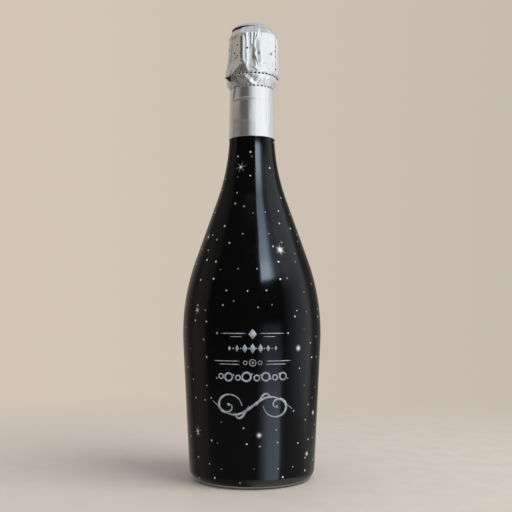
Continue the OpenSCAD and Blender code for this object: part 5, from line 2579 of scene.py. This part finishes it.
@dataclass
class Studio:
    """The pale table, the room round it, the lamp and the camera, in metres and watts."""

    camera_y: float = -0.533
    camera_z: float = 0.115
    lens: float = 55.27
    sensor: float = 36.0
    shift_x: float = 0.0081
    shift_y: float = 0.0996
    floor_r: float = 3.0
    lamp_place: Vec = (0.95, -0.5, 1.25)
    lamp_target: Vec = (0.0, 0.0, 0.1)
    lamp_size: float = 1.1
    lamp_watts: float = 19.0
    lamp_colour: Colour = (1.0, 0.97, 0.93)
    foil_z: float = 0.27
    walls_r: float = 0.8
    window_r: float = 0.64

    def camera(self) -> None:
        """The photograph's camera: level, with its frame shifted up and to the side."""
        data = bpy.data.cameras.new("camera")
        data.lens, data.sensor_width = self.lens, self.sensor
        data.shift_x, data.shift_y = self.shift_x, self.shift_y
        data.clip_start, data.clip_end = 0.01, 20.0
        eye = bpy.data.objects.new("camera", data)
        eye.location = (0.0, self.camera_y, self.camera_z)
        eye.rotation_euler = (math.pi / 2, 0.0, 0.0)
        bpy.context.scene.collection.objects.link(eye)
        bpy.context.scene.camera = eye

    def lamp(self) -> None:
        """The large soft lamp at the upper right, which no mirror ray sees."""
        data = bpy.data.lights.new("key_lamp", "AREA")
        data.shape, data.size, data.size_y = "RECTANGLE", self.lamp_size, self.lamp_size
        data.energy, data.color = self.lamp_watts, self.lamp_colour
        lamp = bpy.data.objects.new("key_lamp", data)
        lamp.location = self.lamp_place
        aim = Vector(self.lamp_target) - Vector(self.lamp_place)
        lamp.rotation_euler = aim.to_track_quat("-Z", "Y").to_euler()
        lamp.visible_glossy = False
        bpy.context.scene.collection.objects.link(lamp)

    def floor(self) -> None:
        """The table. It fades with distance into the colour of the wall."""
        r = np.r_[np.linspace(0.02, 0.6, 30), np.geomspace(0.65, self.floor_r, 14)] / MM
        outline = np.stack([r[::-1], np.zeros(len(r))], 1)
        piece = Grid(turned(outline, 96), pole=Pole.LAST).object("table_top")
        piece.data.materials.append(self.table())

    def wall(self, n: Nodes, x: Socket) -> Socket:
        """The wall's colour by how far to the right a ray looks."""
        return n.mix(n.between(x, -0.35, 0.45), (0.645, 0.56, 0.47), (0.565, 0.5, 0.42))

    def table(self) -> Material:
        """The table's surface: pale and even. Mirror rays pass through it to the room's light.

        Returns:
            The new material.
        """
        material, n, shader, place = blank_material("table_surface")
        grain = n.noise(place, 60.0, 4.0)
        n.feed(shader, {
            "Base Color": n.mix(grain, (0.62, 0.56, 0.51), (0.66, 0.6, 0.555)),
            "Roughness": n.between(grain, 0.3, 0.7, 0.5, 0.6),
        })
        far = n.add("VectorMath", {0: place}, operation="LENGTH").outputs["Value"]
        ahead = n.vector("NORMALIZE", n.vector("SUBTRACT", place, (0.0, self.camera_y, self.camera_z)))
        wall = n.add("Emission", {"Color": self.wall(n, n.split(ahead)[0])})
        fade = {0: n.between(far, 0.12, 0.55), 1: shader.outputs[0], 2: wall.outputs[0]}
        near = n.add("MixShader", fade)
        clear = n.add("BsdfTransparent")
        glossy = n.add("LightPath").outputs["Is Glossy Ray"]
        n.surface(n.add("MixShader", {0: glossy, 1: near.outputs[0], 2: clear.outputs[0]}))
        return material

    def room(self) -> None:
        """The world: the wall that the camera sees, the room that gloss sees, plain light for the rest."""
        world = bpy.data.worlds.new("room")
        world.use_nodes = True
        world.node_tree.nodes.clear()
        n = Nodes(world.node_tree)
        x, y, z = n.split(n.add("TexCoord").outputs["Generated"])
        degrees = n.times(n.bearing(x, y), math.degrees(1))
        light = n.add("LightPath").outputs
        plain = n.mix(n.between(z, -0.2, 0.6), (0.5, 0.47, 0.44), (0.62, 0.62, 0.62))
        direct = n.math("MAXIMUM", light["Is Camera Ray"], light["Is Transmission Ray"])
        seen = n.mix(direct, plain, self.wall(n, x))
        colour = n.mix(light["Is Glossy Ray"], seen, self.mirrored(n, degrees, z))
        back = n.add("Background", {"Color": colour})
        n.add("OutputWorld", {"Surface": back.outputs[0]})
        bpy.context.scene.world = world

    def mirrored(self, n: Nodes, degrees: Socket, z: Socket) -> Socket:
        """What gloss sees: a dark room in front, pale walls to the sides and a bright patch low down.

        Args:
            n: the nodes of the world or of a material.
            degrees: the bearing of the ray.
            z: the ray's rise.

        Returns:
            The colour.
        """
        low = n.ring(degrees, (
            (-180, 0.3, 0.27, 0.23), (-150, 0.28, 0.25, 0.21), (-124, 0.13, 0.12, 0.1),
            (-100, 0.2, 0.18, 0.16), (-84, 0.17, 0.16, 0.15), (-75, 0.09, 0.09, 0.09),
            (10, 0.1, 0.1, 0.11), (20, 0.6, 0.7, 0.85), (27, 1.2, 1.45, 1.75), (48, 1.5, 1.85, 2.3),
            (52, 0.3, 0.32, 0.36), (60, 0.18, 0.18, 0.19), (100, 0.22, 0.22, 0.22),
            (120, 0.32, 0.32, 0.31), (150, 0.36, 0.34, 0.3), (180, 0.3, 0.27, 0.23),
        ), 2.4)
        level = n.ring(degrees, (
            (-180, 0.3, 0.27, 0.22), (-150, 0.27, 0.24, 0.2), (-122, 0.06, 0.06, 0.05),
            (-104, 0.18, 0.17, 0.14), (-86, 0.17, 0.16, 0.13), (-77, 0.03, 0.03, 0.03),
            (54, 0.03, 0.03, 0.035), (66, 0.16, 0.17, 0.2), (78, 0.35, 0.37, 0.43), (92, 0.5, 0.53, 0.6),
            (108, 0.62, 0.64, 0.66), (121, 0.12, 0.12, 0.12), (136, 0.09, 0.09, 0.08),
            (180, 0.3, 0.27, 0.22),
        ), 0.7)
        high = n.ring(degrees, (
            (-180, 0.2, 0.18, 0.15), (-134, 0.09, 0.08, 0.06), (-110, 0.13, 0.13, 0.11),
            (-80, 0.1, 0.1, 0.09), (-72, 0.03, 0.03, 0.03), (54, 0.03, 0.03, 0.035),
            (64, 0.68, 0.73, 0.82), (111, 0.66, 0.69, 0.7), (126, 0.14, 0.14, 0.12),
            (180, 0.2, 0.18, 0.15),
        ), 0.9)
        under = n.ring(degrees, (
            (-180, 0.3, 0.27, 0.23), (-110, 0.26, 0.23, 0.19), (-70, 0.17, 0.15, 0.13),
            (-20, 0.2, 0.19, 0.17), (6, 0.55, 0.55, 0.53), (24, 0.85, 0.87, 0.86), (80, 0.85, 0.87, 0.86),
            (125, 0.5, 0.49, 0.46), (180, 0.3, 0.27, 0.23),
        ), 0.9)
        cloud = n.times(n.between(degrees, 6.0, 26.0), n.between(degrees, 40.0, 56.0, 1.0, 0.0))
        cloud = n.times(cloud, n.between(z, 0.02, 0.1, 0.3, 0.0))
        level = n.mix(cloud, level, (1.0, 1.15, 1.35))
        low = n.mix(n.between(z, -0.46, -0.36), under, low)
        lower = n.mix(n.between(z, -0.25, -0.13), low, level)
        upper = n.mix(n.between(z, 0.34, 0.5), lower, high)
        return n.mix(n.between(z, 0.71, 0.8), upper, (0.5, 0.52, 0.53))

    def mirror_card(self, name: str, bearings: tuple[float, float], heights: tuple[float, float],
                    reach: float, light: Light, only: Sequence[str]) -> None:
        """Adds a part of a wide ring round the room that only mirror rays see.

        Args:
            name: the card's name.
            bearings: where it starts and ends, in degrees.
            heights: its lower and upper edges.
            reach: its radius.
            light: makes the colour from the nodes, the bearing in degrees and the height.
            only: the names of the pieces that it lights, which see it as a glow over what is behind.
        """
        turn = np.radians(np.linspace(*bearings, 73))[None] - math.pi / 2
        parts = (reach * np.cos(turn), reach * np.sin(turn), np.array(heights)[:, None])
        points = np.stack(np.broadcast_arrays(*parts), -1) / MM
        card = Grid(points[:, ::-1], around=False).object(name)
        material, n, _, place = blank_material(name)
        x, y, height = n.split(place)
        degrees = n.times(n.bearing(x, y), math.degrees(1))
        shine = n.add("Emission", {"Color": light(n, degrees, height)})
        clear = n.add("BsdfTransparent")
        n.surface(n.add("AddShader", {0: clear.outputs[0], 1: shine.outputs[0]}))
        material.cycles.emission_sampling = "NONE"
        card.data.materials.append(material)
        lit = bpy.data.collections.new(name + "_receivers")
        for piece in only:
            lit.objects.link(bpy.data.objects[piece])
        card.light_linking.receiver_collection = lit
        card.visible_camera = card.visible_diffuse = card.visible_shadow = card.visible_transmission = False

    @staticmethod
    def window(n: Nodes, degrees: Socket, height: Socket) -> Socket:
        """The window's light: bluish, with a sharp left edge, dimmer upwards and to its right.

        Args:
            n: the card's nodes.
            degrees: the bearing of the place on the card.
            height: its height.

        Returns:
            The colour.
        """
        sideways = n.times(n.between(degrees, 32.0, 48.0, 1.0, 0.12), n.between(degrees, 16.0, 18.0))
        upwards = n.times(n.between(height, 0.55, 0.8, 1.0, 0.45), n.between(height, 0.8, 0.96, 1.0, 0.0))
        return n.scaled((5.0, 6.4, 7.6), n.times(sideways, upwards))

    def foil_walls(self, n: Nodes, degrees: Socket, height: Socket) -> Socket:
        """What the foil mirrors over the room's own light: a white wall right, a grey one left.

        The glow is what the foil is to see, less what the room already gives in that direction.

        Args:
            n: the card's nodes.
            degrees: the bearing of the place on the card.
            height: its height.

        Returns:
            The colour.
        """
        up = n.minus(height, self.foil_z)
        far = n.math("SQRT", n.math("MULTIPLY_ADD", up, up, self.walls_r**2))
        rise = n.math("DIVIDE", up, far)
        skirt = n.ring(degrees, (
            (-180, 0.46, 0.44, 0.39), (-146, 0.42, 0.38, 0.32), (-120, 0.34, 0.31, 0.27),
            (-103, 0.17, 0.16, 0.13), (-60, 0.11, 0.11, 0.1), (-20, 0.14, 0.14, 0.14),
            (-8, 0.32, 0.34, 0.36), (2, 0.48, 0.53, 0.58), (16, 0.55, 0.62, 0.7), (24, 0.93, 0.97, 1.0),
            (60, 1.0, 1.03, 1.05), (85, 0.95, 0.97, 1.0), (98, 0.7, 0.73, 0.75), (115, 0.7, 0.72, 0.72),
            (180, 0.46, 0.44, 0.39),
        ), 1.1)
        crown = n.ring(degrees, (
            (-180, 0.46, 0.44, 0.39), (-140, 0.4, 0.37, 0.32), (-100, 0.34, 0.31, 0.26),
            (-72, 0.27, 0.25, 0.22), (-54, 0.06, 0.055, 0.05), (-22, 0.06, 0.06, 0.06),
            (-8, 0.42, 0.43, 0.43), (4, 0.62, 0.65, 0.66), (22, 0.93, 0.96, 0.98), (60, 1.0, 1.03, 1.04),
            (90, 0.9, 0.92, 0.92), (115, 0.7, 0.71, 0.71), (180, 0.46, 0.44, 0.39),
        ), 1.1)
        above = n.ring(degrees, (
            (-180, 0.45, 0.44, 0.42), (-100, 0.36, 0.34, 0.3), (-50, 0.25, 0.25, 0.24),
            (-15, 0.36, 0.38, 0.4), (5, 0.55, 0.6, 0.64), (30, 0.92, 0.95, 0.96), (90, 0.95, 0.97, 0.97),
            (130, 0.6, 0.6, 0.58), (180, 0.45, 0.44, 0.42),
        ), 1.0)
        below = n.ring(degrees, (
            (-180, 0.25, 0.22, 0.19), (-110, 0.2, 0.17, 0.14), (-60, 0.07, 0.06, 0.05),
            (-15, 0.1, 0.095, 0.09), (10, 0.32, 0.32, 0.31), (30, 0.5, 0.5, 0.5), (90, 0.55, 0.56, 0.55),
            (130, 0.4, 0.39, 0.37), (180, 0.25, 0.22, 0.19),
        ), 0.6)
        walls = n.mix(n.between(rise, 0.2, 0.26), skirt, crown)
        walls = n.mix(n.between(rise, 0.36, 0.6), walls, above)
        walls = n.mix(n.between(rise, -0.3, -0.1), below, walls)
        glow = n.vector("SUBTRACT", walls, self.mirrored(n, degrees, rise))
        return n.vector("MAXIMUM", glow, (0.0, 0.0, 0.0))

    def build(self) -> None:
        """Builds the camera, the lamp, the table and the room."""
        self.camera()
        self.floor()
        self.room()
        self.lamp()

    def mirrors(self) -> None:
        """Adds the walls that only the foil mirrors, and the window that only the sleeve does."""
        foil = ("capsule_skirt", "capsule_strip", "capsule_crown_foil", "capsule_disc")
        self.mirror_card("foil_walls", (-180.0, 180.0), (-0.7, 1.6), self.walls_r, self.foil_walls, foil)
        window = (10.0, 56.0), (0.46, 0.96), self.window_r, self.window
        self.mirror_card("window_card", *window, ("sleeve_shell",))


def main() -> None:
    """Builds the studio and the bottle's pieces in order."""
    logging.basicConfig(level=logging.INFO, format="%(name)s: %(message)s")
    bpy.context.scene.view_settings.view_transform = "Standard"
    studio = Studio()
    studio.build()
    log.info("studio built")
    effects, glass = Effects(), GlassForm()
    form = HoodForm(glass)
    for part in (Bottle(glass), Sleeve(glass), Ornament(glass), Cork(form), WireHood(form), Skirt(form),
                 Strip(form), PullTab(form), Crown(form)):
        part.build(effects)
    studio.mirrors()


if __name__ == "__main__":
    main()
